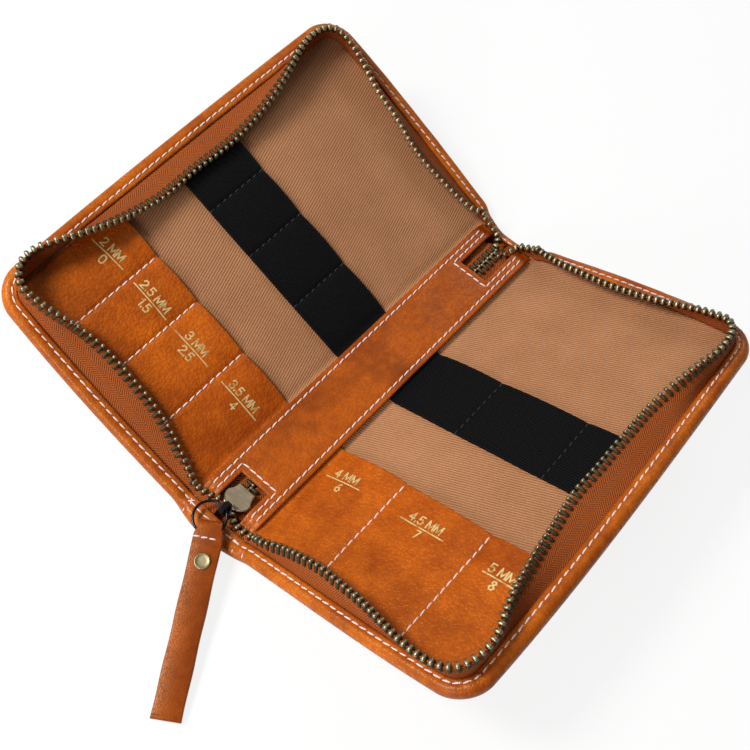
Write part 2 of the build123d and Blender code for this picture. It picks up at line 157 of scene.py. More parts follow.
def newPiece(name, points, faces, material, uv=None, merge=0.0, flip=False, slots=None):
    # points in millimetres; faces as rows of indices; uv gives one pair for each point;
    # slots gives each face its material where there are several
    points = np.asarray(points, float).reshape(-1, 3) * 0.001
    rows = [np.asarray(f, int) for f in (faces if isinstance(faces, list) else [faces])]
    if flip:
        rows = [r[:, ::-1] for r in rows]
    mesh = bpy.data.meshes.new(name)
    mesh.from_pydata(points, [], [tuple(q) for r in rows for q in r.tolist()])
    if uv is not None:
        layer = mesh.uv_layers.new(name="UVMap")
        index = np.zeros(len(mesh.loops), np.int32)
        mesh.loops.foreach_get("vertex_index", index)
        layer.data.foreach_set("uv", np.asarray(uv, np.float32).reshape(-1, 2)[index].ravel())
    for one in material if isinstance(material, list) else [material]:
        mesh.materials.append(one)
    if slots is not None:
        mesh.polygons.foreach_set("material_index", np.asarray(slots, np.int32))
    if merge:
        work = bmesh.new()
        work.from_mesh(mesh)
        bmesh.ops.remove_doubles(work, verts=work.verts, dist=merge * 0.001)
        bmesh.ops.dissolve_degenerate(work, edges=work.edges, dist=1e-7)
        bmesh.ops.recalc_face_normals(work, faces=work.faces)
        work.to_mesh(mesh)
        work.free()
    mesh.polygons.foreach_set("use_smooth", np.full(len(mesh.polygons), True))
    mesh.update()
    piece = bpy.data.objects.new(name, mesh)
    bpy.context.scene.collection.objects.link(piece)
    return piece


def gridPiece(name, points, material, closedU=False, closedV=False, **more):
    # a surface of two parameters: one row of points for each value of the first
    n, m = points.shape[:2]
    return newPiece(name, points, gridFaces(n, m, closedU, closedV), material, **more)


def slabPiece(name, top, bottom, material, uv=None, edge=None, keep=None):
    # a sheet with a thickness: the top grid's quads, those that keep marks if it is given, the
    # same below, and a wall along every edge that only one quad has
    count = top.shape[0] * top.shape[1]
    quads = gridFaces(*top.shape[:2])
    quads = quads if keep is None else quads[keep.ravel()]
    sides = np.stack([quads, np.roll(quads, -1, axis=1)], axis=-1).reshape(-1, 2)
    code, back = sides @ [count, 1], sides[:, ::-1] @ [count, 1]
    rim = sides[~np.isin(code, back)]
    wall = np.column_stack([rim[:, 1], rim[:, 0], rim[:, 0] + count, rim[:, 1] + count])
    slots = np.repeat([0, 1], [2 * len(quads), len(wall)]) if edge else None
    points = np.concatenate([top.reshape(-1, 3), bottom.reshape(-1, 3)])
    both = None if uv is None else np.concatenate([uv.reshape(-1, 2)] * 2)
    return newPiece(name, points, [quads, quads[:, ::-1] + count, wall],
                    [material, edge] if edge else material, both, merge=0.0005, slots=slots)


def copiesPiece(name, shape, faces, uv, place, frames, material):
    # one small shape repeated: each point of it goes along the copy's own three ways
    points = place[:, None, :] + sum(shape[None, :, i:i + 1] * frames[i][:, None, :] for i in range(3))
    step = np.arange(len(place))[:, None, None] * len(shape)
    rows = [(f[None] + step).reshape(-1, f.shape[1]) for f in faces]
    return newPiece(name, points, rows, material, np.tile(uv, (len(place), 1)))


def tubeFaces(n, m):
    # quads round a row of closed sections, facing outwards, and a cap at each end
    return [gridFaces(n, m, closedV=True)[:, ::-1], np.arange(m)[None, ::-1],
            ((n - 1) * m + np.arange(m))[None, :]]


def uvGrid(u, v):
    # the two texture lengths of every point, in millimetres
    u, v = np.broadcast_arrays(u, v)
    return np.stack([u, v], axis=-1)


def joined(pieces):
    # several pieces of one material become one object
    work = bmesh.new()
    for piece in pieces:
        work.from_mesh(piece.data)
    work.to_mesh(pieces[0].data)
    work.free()
    for piece in pieces[1:]:
        bpy.data.objects.remove(piece)
    return pieces[0]


def coverPiece(piece, side, slot, *nodes):
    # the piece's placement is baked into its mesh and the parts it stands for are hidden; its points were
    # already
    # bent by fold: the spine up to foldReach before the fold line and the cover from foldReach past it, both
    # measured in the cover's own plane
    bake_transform(piece)
    if nodes:
        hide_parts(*nodes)
    return piece


def bodyPiece(piece, body, slot, *nodes):
    # the piece moves with one body
    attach(piece, body)
    if nodes:
        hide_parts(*nodes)
    return piece


# ---- shader maths


class Sock:
    # wraps a node's output, so that shader maths is written as plain expressions
    def __init__(self, maker, link):
        self.maker, self.link = maker, link

    def maths(self, operation, *values):
        # one Math node; the methods below name its operation
        inputs = {i: v for i, v in enumerate(values)}
        return self.maker.node("ShaderNodeMath", {"operation": operation}, inputs)

    def __add__(self, other):
        return self.maths("ADD", self, other)

    def __radd__(self, other):
        return self.maths("ADD", other, self)

    def __sub__(self, other):
        return self.maths("SUBTRACT", self, other)

    def __rsub__(self, other):
        return self.maths("SUBTRACT", other, self)

    def __mul__(self, other):
        return self.maths("MULTIPLY", self, other)

    def __rmul__(self, other):
        return self.maths("MULTIPLY", other, self)

    def __truediv__(self, other):
        return self.maths("DIVIDE", self, other)

    def sine(self):
        return self.maths("SINE", self)

    def size(self):
        return self.maths("ABSOLUTE", self)

    def part(self):
        return self.maths("FRACT", self)

    def floor(self):
        return self.maths("FLOOR", self)

    def step(self, low, high):
        # 0 below low, 1 above high, soft between
        return self.maker.node(
            "ShaderNodeMapRange", {"interpolation_type": "SMOOTHSTEP"},
            {"Value": self, "From Min": low, "From Max": high})


class Finish:
    # a material and the one method that adds its nodes
    def __init__(self, name):
        self.material = bpy.data.materials.new(name)
        self.material.use_nodes = True
        self.tree = self.material.node_tree
        self.tree.nodes.clear()

    def node(self, kind, settings=None, inputs=None, output=0):
        # settings come first, because they can change the sockets
        made = self.tree.nodes.new(kind)
        for key, value in (settings or {}).items():
            setattr(made, key, value)
        for key, value in (inputs or {}).items():
            socket = made.inputs[key]
            if isinstance(value, Sock):
                self.tree.links.new(value.link, socket)
            elif isinstance(value, tuple) and len(value) == 3 and socket.type == "RGBA":
                socket.default_value = (*value, 1)
            else:
                socket.default_value = value
        return None if output is None else Sock(self, made.outputs[output])

    def blend(self, share, first, second):
        # colours: inputs 6 and 7 of a Mix node set to colour, its output 2
        return self.node("ShaderNodeMix", {"data_type": "RGBA"}, {0: share, 6: first, 7: second}, 2)

    def place(self):
        # the place on the object, in metres
        return self.node("ShaderNodeTexCoord", output="Object")

    def uv(self):
        # the piece's two texture lengths
        apart = self.node("ShaderNodeSeparateXYZ", {}, {0: self.node("ShaderNodeTexCoord", output="UV")})
        return apart, Sock(self, apart.link.node.outputs[1])

    def wave(self, value, length):
        # ridges a length apart, from 0 to 1: half a sine and a half
        return (value * (2 * math.pi / length)).sine() * 0.5 + 0.5

    def noise(self, scale, detail=2.0, rough=0.5, vector=None, distortion=0.0):
        # soft clouds from 0 to 1, in octaves
        return self.node("ShaderNodeTexNoise", {}, {
            "Vector": vector or self.place(), "Scale": scale, "Detail": detail,
            "Roughness": rough, "Distortion": distortion})

    def bump(self, height, distance, strength):
        # distance in millimetres
        return self.node("ShaderNodeBump", {}, {
            "Height": height, "Distance": distance * 0.001, "Strength": strength})

    def ending(self, shader):
        # every finish ends in one output
        self.node("ShaderNodeOutputMaterial", {}, {"Surface": shader}, None)
        return self.material

    def surface(self, **values):
        # sockets by name, with an underscore for each space
        names = {key.replace("_", " "): value for key, value in values.items()}
        return self.ending(self.node("ShaderNodeBsdfPrincipled", {}, names))


# ---- finishes

# colours are linear; cell is the grain's size and relief its height, in millimetres
leatherLook = {
    "outer": {"light": (0.57, 0.14, 0.007), "dark": (0.24, 0.038, 0.002), "cell": 0.85, "relief": 0.06},
    "inner": {"light": (0.58, 0.122, 0.005), "dark": (0.27, 0.042, 0.002), "cell": 0.95, "relief": 0.105},
    "strap": {"light": (0.33, 0.056, 0.002), "dark": (0.13, 0.018, 0.001), "cell": 0.5, "relief": 0.02},
    "strip": {"light": (0.46, 0.088, 0.002), "dark": (0.2, 0.03, 0.001), "cell": 0.9, "relief": 0.075},
}


def leatherFinish(name):
    # waxed leather: clouded colour, pebble cells divided by fine creases, and soft pulls
    look = leatherLook[name]
    f = Finish(name + "Leather")
    place = f.place()
    warp = f.noise(260, 2)
    stray = f.node("ShaderNodeTexNoise", {}, {"Vector": place, "Scale": 300.0}, "Color")
    bent = f.node("ShaderNodeVectorMath", {"operation": "MULTIPLY_ADD"}, {
        0: stray, 1: (0.0012, 0.0012, 0.0012), 2: place})
    cells = f.node("ShaderNodeTexVoronoi", {"feature": "SMOOTH_F1"}, {
        "Vector": bent, "Scale": 1000 / look["cell"], "Smoothness": 0.35})
    pebble = 1 - cells.step(0.25, 0.75)
    clouds = f.noise(34, 5, 0.62)
    mottle = f.noise(480, 3, 0.65)
    patches = f.noise(85, 3, 0.6)
    shade = (clouds * 1.5 - 0.22) + (patches - 0.5) * 1.1 + (warp - 0.5) * 0.4 + (mottle - 0.5) * 0.6
    tint = f.blend(shade.step(0.0, 1.1), look["dark"], look["light"])
    # painted shade: the creases between the pebbles are darkened towards the dark colour
    tint = f.blend((1 - pebble) * 0.4, tint, look["dark"])
    pulls = f.noise(150, 4, 0.7, distortion=1.2)
    height = pebble + pulls * 1.4 + mottle * 0.5
    rough = 0.28 + clouds * 0.14 + (1 - pebble) * 0.2
    return f.surface(
        Base_Color=tint, Roughness=rough, Specular_IOR_Level=0.5, Specular_Tint=(1.0, 0.62, 0.28),
        Coat_Weight=0.06, Coat_Roughness=0.22,
        Normal=f.bump(height, look["relief"], 0.85))


def cutEdgeFinish():
    # raw leather: short pale and dark fibres
    f = Finish("cutEdge")
    fibre = f.noise(900, 3, 0.7)
    tint = f.blend(fibre, (0.2, 0.07, 0.02), (0.5, 0.24, 0.1))
    return f.surface(Base_Color=tint, Roughness=0.8, Normal=f.bump(fibre, 0.08, 0.7))


twillLook = {"light": (0.5, 0.24, 0.116), "dark": (0.24, 0.1, 0.044), "rib": 0.86, "thread": 0.42}


def twillFinish():
    # cotton twill: slanting ribs, crossed by finer threads, with faded clouds
    f = Finish("liningTwill")
    u, v = f.uv()
    wander = f.noise(220, 3) * 0.2
    rib = f.wave(u + wander, twillLook["rib"])
    thread = f.wave(v * 0.9 + u * 0.43, twillLook["thread"])
    clouds = f.noise(45, 4, 0.6)
    fluff = f.noise(1500, 2, 0.7)
    shade = rib * 0.45 + thread * 0.12 + clouds * 0.5 + (fluff - 0.5) * 0.3
    tint = f.blend(shade.step(0.1, 0.95), twillLook["dark"], twillLook["light"])
    return f.surface(
        Base_Color=tint, Roughness=0.9, Specular_IOR_Level=0.12,
        Normal=f.bump(rib + thread * 0.4 + fluff * 0.5, 0.12, 0.8))


tapeLook = {"light": (0.37, 0.09, 0.018), "dark": (0.21, 0.044, 0.008), "chevron": 2.4, "rib": 0.85}


def tapeFinish():
    # herringbone: ribs slant one way and then the other in bands along the tape
    f = Finish("zipTape")
    u, v = f.uv()
    zigzag = ((u / (2 * tapeLook["chevron"])).part() * 2 - 1).size() * tapeLook["chevron"]
    cord = f.wave(v + zigzag * 0.85, tapeLook["rib"]).step(0.0, 0.8)
    clouds = f.noise(90, 3)
    fluff = f.noise(1600, 2, 0.7)
    shade = cord * 0.62 + clouds * 0.35 + (fluff - 0.5) * 0.35
    tint = f.blend(shade.step(0.05, 1.0), tapeLook["dark"], tapeLook["light"])
    return f.surface(
        Base_Color=tint, Roughness=0.8, Specular_IOR_Level=0.15,
        Normal=f.bump(cord + fluff * 0.3, 0.22, 0.9))


elasticLook = {"base": (0.001, 0.001, 0.0013), "ridge": (0.0058, 0.006, 0.0078), "rib": 0.86, "yarn": 0.42}


def elasticFinish():
    # elastic: cords along the band, each wound with fine yarn
    f = Finish("elasticWeave")
    u, v = f.uv()
    cord = f.wave(v, elasticLook["rib"])
    yarn = f.wave(u + (v / elasticLook["rib"]).floor() * 0.21, elasticLook["yarn"])
    fluff = f.noise(1800, 2, 0.7)
    shade = cord * 0.55 + yarn * cord * 0.35 + (fluff - 0.5) * 0.25
    tint = f.blend(shade.step(0.1, 0.95), elasticLook["base"], elasticLook["ridge"])
    return f.surface(
        Base_Color=tint, Roughness=0.7, Specular_IOR_Level=0.1,
        Normal=f.bump(cord + yarn * 0.35, 0.22, 0.9))


def threadFinish(name, colour, shadow):
    # twisted thread: slanting plies along each stitch
    f = Finish(name)
    u, v = f.uv()
    ply = f.wave(v + u * 2.0, 1.0)
    tint = f.blend(ply * 0.6 + f.noise(900, 2) * 0.4, shadow, colour)
    return f.surface(Base_Color=tint, Roughness=0.55, Normal=f.bump(ply, 0.06, 0.8))


def brassFinish(name, bright, dark, rough):
    # antique brass: bright where the piece's own v is high, partly wear where it rubs and partly a painted
    # highlight, and brown elsewhere, partly painted shade
    f = Finish(name)
    tarnish = f.noise(420, 4, 0.7)
    # mask along v: rubbed brass and painted highlight on the heads, painted shade down the legs
    rubAndHighlight = (f.uv()[1] + (tarnish - 0.5) * 0.4).step(0.5, 0.98)
    tint = f.blend(rubAndHighlight, dark, bright)
    return f.surface(
        Base_Color=tint, Metallic=0.9, Roughness=rough + (1 - rubAndHighlight) * 0.25,
        Normal=f.bump(tarnish, 0.04, 0.6))


def plateFinish(name, bright, dark, rough=0.32):
    # brushed plate: clouds of tarnish, and fine clouds drawn out nine times along one way
    f = Finish(name)
    tarnish = f.noise(300, 5, 0.7)
    drawn = f.node("ShaderNodeMapping", {}, {"Vector": f.place(), "Scale": (1.0, 9.0, 1.0)})
    brush = f.noise(260, 3, 0.6, drawn)
    tint = f.blend((tarnish * 0.7 + brush * 0.4).step(0.3, 0.8), dark, bright)
    return f.surface(
        Base_Color=tint, Metallic=0.92, Roughness=rough + brush * 0.2,
        Normal=f.bump(brush, 0.03, 0.4))


def darkMetalFinish():
    # blackened nickel, faintly clouded
    f = Finish("blackNickel")
    cloud = f.noise(500, 3)
    tint = f.blend(cloud, (0.012, 0.014, 0.02), (0.035, 0.038, 0.048))
    return f.surface(Base_Color=tint, Metallic=0.85, Roughness=0.2 + cloud * 0.12,
                     Normal=f.bump(cloud, 0.02, 0.4))


def goldFinish():
    # pressed foil: worn thin in patches
    f = Finish("goldFoil")
    flake = f.noise(1400, 4, 0.7)
    whole = f.noise(500, 3).step(0.3, 0.55)
    tint = f.blend(whole, (0.6, 0.34, 0.09), (0.95, 0.72, 0.32))
    return f.surface(Base_Color=tint, Metallic=0.6, Roughness=0.35 + flake * 0.2,
                     Normal=f.bump(flake, 0.05, 0.7))


def boardFinish():
    # grey-brown fibre board
    f = Finish("stiffBoard")
    grain = f.noise(700, 3)
    return f.surface(Base_Color=f.blend(grain, (0.2, 0.15, 0.1), (0.3, 0.23, 0.16)), Roughness=0.85,
                     Normal=f.bump(grain, 0.05, 0.5))


finish = {name: leatherFinish(name) for name in leatherLook}
finish |= {
    "cut": cutEdgeFinish(), "twill": twillFinish(), "tape": tapeFinish(), "elastic": elasticFinish(),
    "white": threadFinish("whiteThread", (0.9, 0.78, 0.76), (0.62, 0.42, 0.4)),
    "black": threadFinish("blackThread", (0.014, 0.014, 0.017), (0.004, 0.004, 0.005)),
    "teeth": brassFinish("toothBrass", (0.27, 0.235, 0.14), (0.075, 0.058, 0.032), 0.4),
    "plate": plateFinish("sliderBronze", (0.44, 0.36, 0.25), (0.3, 0.23, 0.145)),
    "rivet": plateFinish("rivetBrass", (0.4, 0.34, 0.2), (0.24, 0.19, 0.1), 0.38),
    "dark": darkMetalFinish(), "gold": goldFinish(), "board": boardFinish(),
}
print("finishes made")

carriedOver = {
    "slider_body": "plate", "slider_bail": "dark",
    "zip_stop_bottom": "rivet", "zip_stop_top": "rivet", "spine_board": "board",
}
for name, kind in carriedOver.items():
    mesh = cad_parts[name].data
    mesh.materials.clear()
    mesh.materials.append(finish[kind])


# ---- rim of a cover, from the bottom fold round to the top fold


def rimStations(first, step, cornerSteps=16):
    # base points on the cover's outline and the way outwards, evenly spaced along the straights
    # and round the corner arcs
    r, half, out, near = case["corner"], case["halfLength"], case["cover"], case["stackStart"]
    side = np.concatenate([np.arange(first, near, step * 0.5),
                           np.linspace(near, out - r, int((out - r - near) / step) + 1)])
    angle = np.linspace(0, math.pi / 2, cornerSteps + 1)[1:-1]
    count = int(2 * (half - r) / step) + 1
    long = np.linspace(r - half, half - r, count)
    one, zero = np.ones_like, np.zeros_like
    base = [
        np.stack([side, -half * one(side)], 1),
        np.stack([out - r + r * np.sin(angle), r - half - r * np.cos(angle)], 1),
        np.stack([out * one(long), long], 1),
        np.stack([out - r + r * np.cos(angle), half - r + r * np.sin(angle)], 1),
        np.stack([side[::-1], half * one(side)], 1)]
    way = [
        np.stack([zero(side), -one(side)], 1), np.stack([np.sin(angle), -np.cos(angle)], 1),
        np.stack([one(long), zero(long)], 1), np.stack([np.cos(angle), np.sin(angle)], 1),
        np.stack([zero(side), one(side)], 1)]
    base, way = np.concatenate(base), np.concatenate(way)
    bend = np.abs(way[:, 0] * way[:, 1]) * 2  # 1 in the middle of a corner
    return {"base": base, "way": way, "run": runAlong(base), "bend": bend}


def rimPlace(rim, inset):
    # each base point less the way outwards times each inset
    inset = np.atleast_1d(inset)
    return rim["base"][:, None, :] - inset[None, :, None] * rim["way"][:, None, :]


# ---- outer leather

skin = {
    "inset": (3.5, 4.8, 5.0, 5.05, 4.97, 4.75, 4.35, 3.85, 3.35, 2.9, 2.4, 1.85, 1.35, 0.9, 0.52,
              0.22, 0.05, 0.0, 0.04, 0.2, 0.55, 1.1, 1.9, 3.4, 5.5, 8.0, 11.0),
    "height": (3.68, 3.7, 3.85, 4.15, 4.43, 4.63, 4.74, 4.7, 4.56, 4.68, 4.74, 4.66, 4.48, 4.18, 3.78,
               3.25, 2.7, 2.2, 1.7, 1.15, 0.66, 0.28, 0.08, 0.0, 0.0, 0.0, 0.0),
    "wrinkle": 0.16, "wave": 0.1,
    "rows": 30, "spineRows": 23, "spineFlat": 66.0,  # stations on the flat underside
}


def skinHeights(run, bend, inset):
    # the hem's height: its section, plus creases that fan out at the corners and slow waves,
    # both sines of the length along the rim
    section = np.array(skin["height"])[None, :]
    onHem = smooth((section - 2.6) / 1.2) * smooth((5.1 - inset) / 1.5)
    fan = np.sin(run * 3.1 + 0.6 * np.sin(run * 1.7)) * bend ** 0.7
    slow = np.sin(run * 0.19 + 1.0) * 0.6 + np.sin(run * 0.47) * 0.4
    return section + onHem * (skin["wrinkle"] * fan + skin["wave"] * slow)[:, None]


def coverSkin(side):
    # the hem's section carried round the rim from its inner lip to the underside
    rim = rimStations(spineJoin, 1.5)
    inset = np.array(skin["inset"])
    place = rimPlace(rim, inset)
    height = skinHeights(rim["run"], rim["bend"], inset[None, :])
    points = fold(place[..., 0], place[..., 1], height, side)
    # the flat underside inside that band: rows across the cover, columns along it
    half, last = case["halfLength"], skin["inset"][-1]
    d = rim["base"][rim["base"][:, 1] <= 1e-6 - half, 0]
    y = np.linspace(last - half, half - last, skin["rows"])
    under = fold(d[:, None], y[None, :], 0.0, side)
    count = points.shape[0] * points.shape[1]
    faces = [gridFaces(*points.shape[:2]), gridFaces(*under.shape[:2], start=count)]
    both = np.concatenate([points.reshape(-1, 3), under.reshape(-1, 3)])
    piece = newPiece(side + "CoverLeather", both, faces, finish["outer"], merge=0.002)
    return coverPiece(piece, side, "outer_leather", side + "_leather")


def spineSkin():
    # the same hem section at both ends of the spine, joined by the flat underside
    x = np.linspace(-case["halfSpine"] - spineJoin, case["halfSpine"] + spineJoin, 19)
    inset, height, rows = np.array(skin["inset"]), np.array(skin["height"]), skin["spineRows"]
    y = np.concatenate([inset - case["halfLength"], np.linspace(-skin["spineFlat"], skin["spineFlat"], rows),
                        (case["halfLength"] - inset)[::-1]])
    h = np.concatenate([height, np.zeros(rows), height[::-1]])
    h = h[None, :] + (h > 4)[None, :] * 0.05 * np.sin(x * 0.6)[:, None]
    x, y, h = np.broadcast_arrays(x[:, None], y[None, :], h)
    y, h = spineEnds(np.abs(x) - case["halfSpine"], y, h)
    piece = gridPiece("spineLeather", np.stack([x, y, h], axis=-1), finish["outer"], flip=True)
    return bodyPiece(piece, "spine", "outer_leather", "spine_leather")


for side in bodies:
    coverSkin(side)
spineSkin()
print("outer leather made")


# ---- lining

# weave is the way across the ribs, since the cloth was cut differently for the two covers
lining = {
    "start": -2.6, "edge": 86.0, "half": 74.8, "top": 3.15, "rise": 0.9, "thickness": 0.45,
    "sag": 0.12, "wave": 0.05, "gap": 0.03, "flat": (0.0887, 0.1496),
    "weave": {"left": (0.95, -0.32), "right": (-0.26, 0.966)},
}


def liningTop(d, y):
    # level on the cover, rising under the spine's strip; a faint sag and slow waves
    rise = lining["rise"] * smooth((0.8 - d) / 3.2)
    sag = lining["sag"] * np.sin(np.clip(d / 88, 0, 1) * math.pi)
    wave = lining["wave"] * np.sin(d * 0.21 + y * 0.07)
    return lining["top"] + rise + np.clip(wave - sag, -0.2, 0.05)


def coverLining(side):
    # a rectangle of cloth on the board, its texture turned to the weave
    d = np.concatenate([np.linspace(lining["start"], 6, 14), np.linspace(8, lining["edge"], 42)])
    y = np.linspace(-lining["half"], lining["half"], 61)
    d, y = np.meshgrid(d, y, indexing="ij")
    h = liningTop(d, y)
    top, low = fold(d, y, h, side), fold(d, y, h - lining["thickness"], side)
    a, b = lining["weave"][side]
    piece = slabPiece(side + "Lining", top, low, finish["twill"], uvGrid(a * d + b * y, a * y - b * d))
    coverPiece(piece, side, "lining_twill", side + "_lining")


# ---- pockets and elastic bands

# an arch is where it starts and ends beside the outer seams, and the power of its sine
seams = {"left": (22.3, 44.3, 63.3), "right": (27.6, 61.2)}
pocket = {
    "start": -2.2, "end": 83.3, "low": -72.3, "corner": 4.4, "top": -30.1,
    "bow": 0.3, "bowArch": (2, 84, 0.8), "bowMiddle": 0.4,
    "rise": 0.7, "riseAt": 24.0, "riseWidth": 9.0,  # of the right one's open edge
    "thickness": 1.1, "thin": 0.42, "slack": 0.7, "slackArch": (3, 83, 0.75),
    "pinch": 0.3, "pinchWidth": 0.9, "wave": 0.12,
    "edge": 0.35, "edgeWidth": 0.45,
}
band = {
    "start": -2.2, "end": 83.3, "low": -6.4, "width": 25.0, "flat": (0.025, 0.0865),
    "thickness": 0.9, "thin": 0.42, "slack": 0.75, "slackArch": (3, 83, 0.8),
    "pinch": 0.3, "pinchWidth": 0.8, "cord": 0.12, "cordAt": 0.5, "cordWidth": 0.35,
    "sway": 0.25, "swayArch": (2, 84, 0.6), "edge": 0.3, "edgeWidth": 0.35, "fabric": 0.75,
}
underStrip = {"end": -2.0, "over": 4.5}  # a sheet is thin up to end, then grows over this length


def arches(d, side, start, end, power):
    # 0 at each seam and 1 halfway between two seams: a power of the sine of the share of the way
    stops = np.array([start, *seams[side], end])
    k = np.clip(np.searchsorted(stops, d, side="right") - 1, 0, len(stops) - 2)
    share = np.clip((d - stops[k]) / (stops[k + 1] - stops[k]), 0, 1)
    return np.sin(share * math.pi) ** power


def edgeRun(start, end, side, count, around=1.6):
    # stations along d, closer together beside the seams and at the strip
    places = [np.linspace(start, end, count)]
    places += [s + np.array([-around, -0.8, -0.3, 0, 0.3, 0.8, around]) for s in seams[side]]
    return np.unique(np.round(np.concatenate(places), 3))


def sheetThickness(d, sheet):
    # thin where the sheet runs under the strip, then full by a soft step
    grown = smooth((d - underStrip["end"]) / underStrip["over"])
    return sheet["thin"] + (sheet["thickness"] - sheet["thin"]) * grown


def seamGroove(d, side, sheet):
    # bell-shaped groove along the nearest seam
    near = np.min([np.abs(d - s) for s in seams[side]], axis=0)
    return sheet["pinch"] * bell(near, sheet["pinchWidth"])


def pocketTop(d, side):
    # the open edge bows up a little between the seams, and rises beside the strip
    edge = pocket["top"] + pocket["bow"] * (arches(d, side, *pocket["bowArch"]) - pocket["bowMiddle"])
    if side == "right":
        edge = edge + pocket["rise"] * bell(d - pocket["riseAt"], pocket["riseWidth"])
    return edge


def pocketHeight(d, y, side):
    # thickness, plus an arch between the seams that grows towards the open edge, less the
    # grooves, plus waves
    grow = 0.2 + 0.8 * smooth((y + 72) / 44)
    slack = pocket["slack"] * grow * arches(d, side, *pocket["slackArch"])
    waves = pocket["wave"] * np.sin(d * 0.31 + y * 0.12) * np.sin(y * 0.23 + 1)
    return (liningTop(d, y) + lining["gap"] + sheetThickness(d, pocket) + slack
            - seamGroove(d, side, pocket) + waves * smooth((d - 4) / 8))


def pocketPanel(side):
    # a slab from the sewn edge to the open one, which is rounded over and thinner
    d = edgeRun(pocket["start"], pocket["end"], side, 66)
    rim = np.array([0, 0.12, 0.3, 0.6])
    low, r = pocket["low"], pocket["corner"]
    y = low + np.linspace(0, 1, 26) * (pocketTop(d, side)[:, None] - low)
    y = np.concatenate([y[:, :1] + rim[1:3], y[:, 1:-1], y[:, -1:] - rim[::-1]], axis=1)
    y = np.sort(y, axis=1)
    # the far lower corner is round: its side draws in by the arc's depth
    share = (d[:, None] - pocket["start"]) / (pocket["end"] - pocket["start"])
    d = d[:, None] - r * roundOver(y - low, r) * smooth((share - 0.9) / 0.1)
    base, height = liningTop(d, y), pocketHeight(d, y, side)
    top = height - pocket["edge"] * roundOver(y[:, -1:] - y, pocket["edgeWidth"])
    under = np.maximum(height - 0.95 * np.clip(top - base, 0.3, 1.0), base + 0.02)
    piece = slabPiece(side + "PocketPanel", fold(d, y, top, side), fold(d, y, under, side),
                      finish["inner"], uvGrid(d, y), finish["cut"])
    return coverPiece(piece, side, "inner_leather", side + "_pocket_panel")


def bandHeight(d, y, side):
    # the same sum as a pocket's, with a thicker cord just inside each edge
    slack = band["slack"] * arches(d, side, *band["slackArch"]) * (0.85 + 0.15 * np.sin(y * 0.2))
    edge = np.minimum(y - band["low"], band["low"] + band["width"] - y)
    cord = band["cord"] * bell(edge - band["cordAt"], band["cordWidth"])
    return (liningTop(d, y) + lining["gap"] + sheetThickness(d, band) + slack
            - seamGroove(d, side, band) + cord)


def bandSway(d, side):
    # the band's edges pull in a little at each seam
    return band["sway"] * (1 - arches(d, side, *band["swayArch"]))


def elasticBand(side):
    # a slab whose long edges are rounded over; its rows are closer together there
    d = edgeRun(band["start"], band["end"], side, 70)
    near, wide = np.array([0, 0.12, 0.3, 0.5, 0.75, 1.1]), band["width"]
    rows = np.concatenate([near, np.linspace(2, wide - 2, 22), wide - near[::-1]])
    sway = bandSway(d, side)[:, None]
    y = band["low"] + sway + rows * (wide - 2 * sway) / wide
    d = np.broadcast_to(d[:, None], y.shape)
    top = bandHeight(d, y, side)
    top = top - band["edge"] * roundOver(np.minimum(rows, wide - rows), band["edgeWidth"])
    under = np.maximum(top - band["fabric"], liningTop(d, y) + 0.02)
    piece = slabPiece(side + "ElasticBand", fold(d, y, top, side), fold(d, y, under, side),
                      finish["elastic"], uvGrid(d, rows))
    coverPiece(piece, side, "elastic", side + "_elastic_band")
    return piece


board = {"start": 4.2, "inset": 4.1, "low": 1.45, "high": 2.55}


def coverBoard(side):
    # a flat rectangle between the leather and the lining
    d = np.linspace(board["start"], case["cover"] - board["inset"], 14)
    y = np.linspace(board["inset"] - case["halfLength"], case["halfLength"] - board["inset"], 24)
    d, y = np.meshgrid(d, y, indexing="ij")
    piece = slabPiece(side + "Board", fold(d, y, board["high"], side), fold(d, y, board["low"], side),
                      finish["board"])
    return bodyPiece(piece, bodies[side], "board", side + "_board")


for side in bodies:
    coverBoard(side)
    coverLining(side)
    pocketPanel(side)
    elasticBand(side)
print("lining, pockets and bands made")


# ---- zip tapes

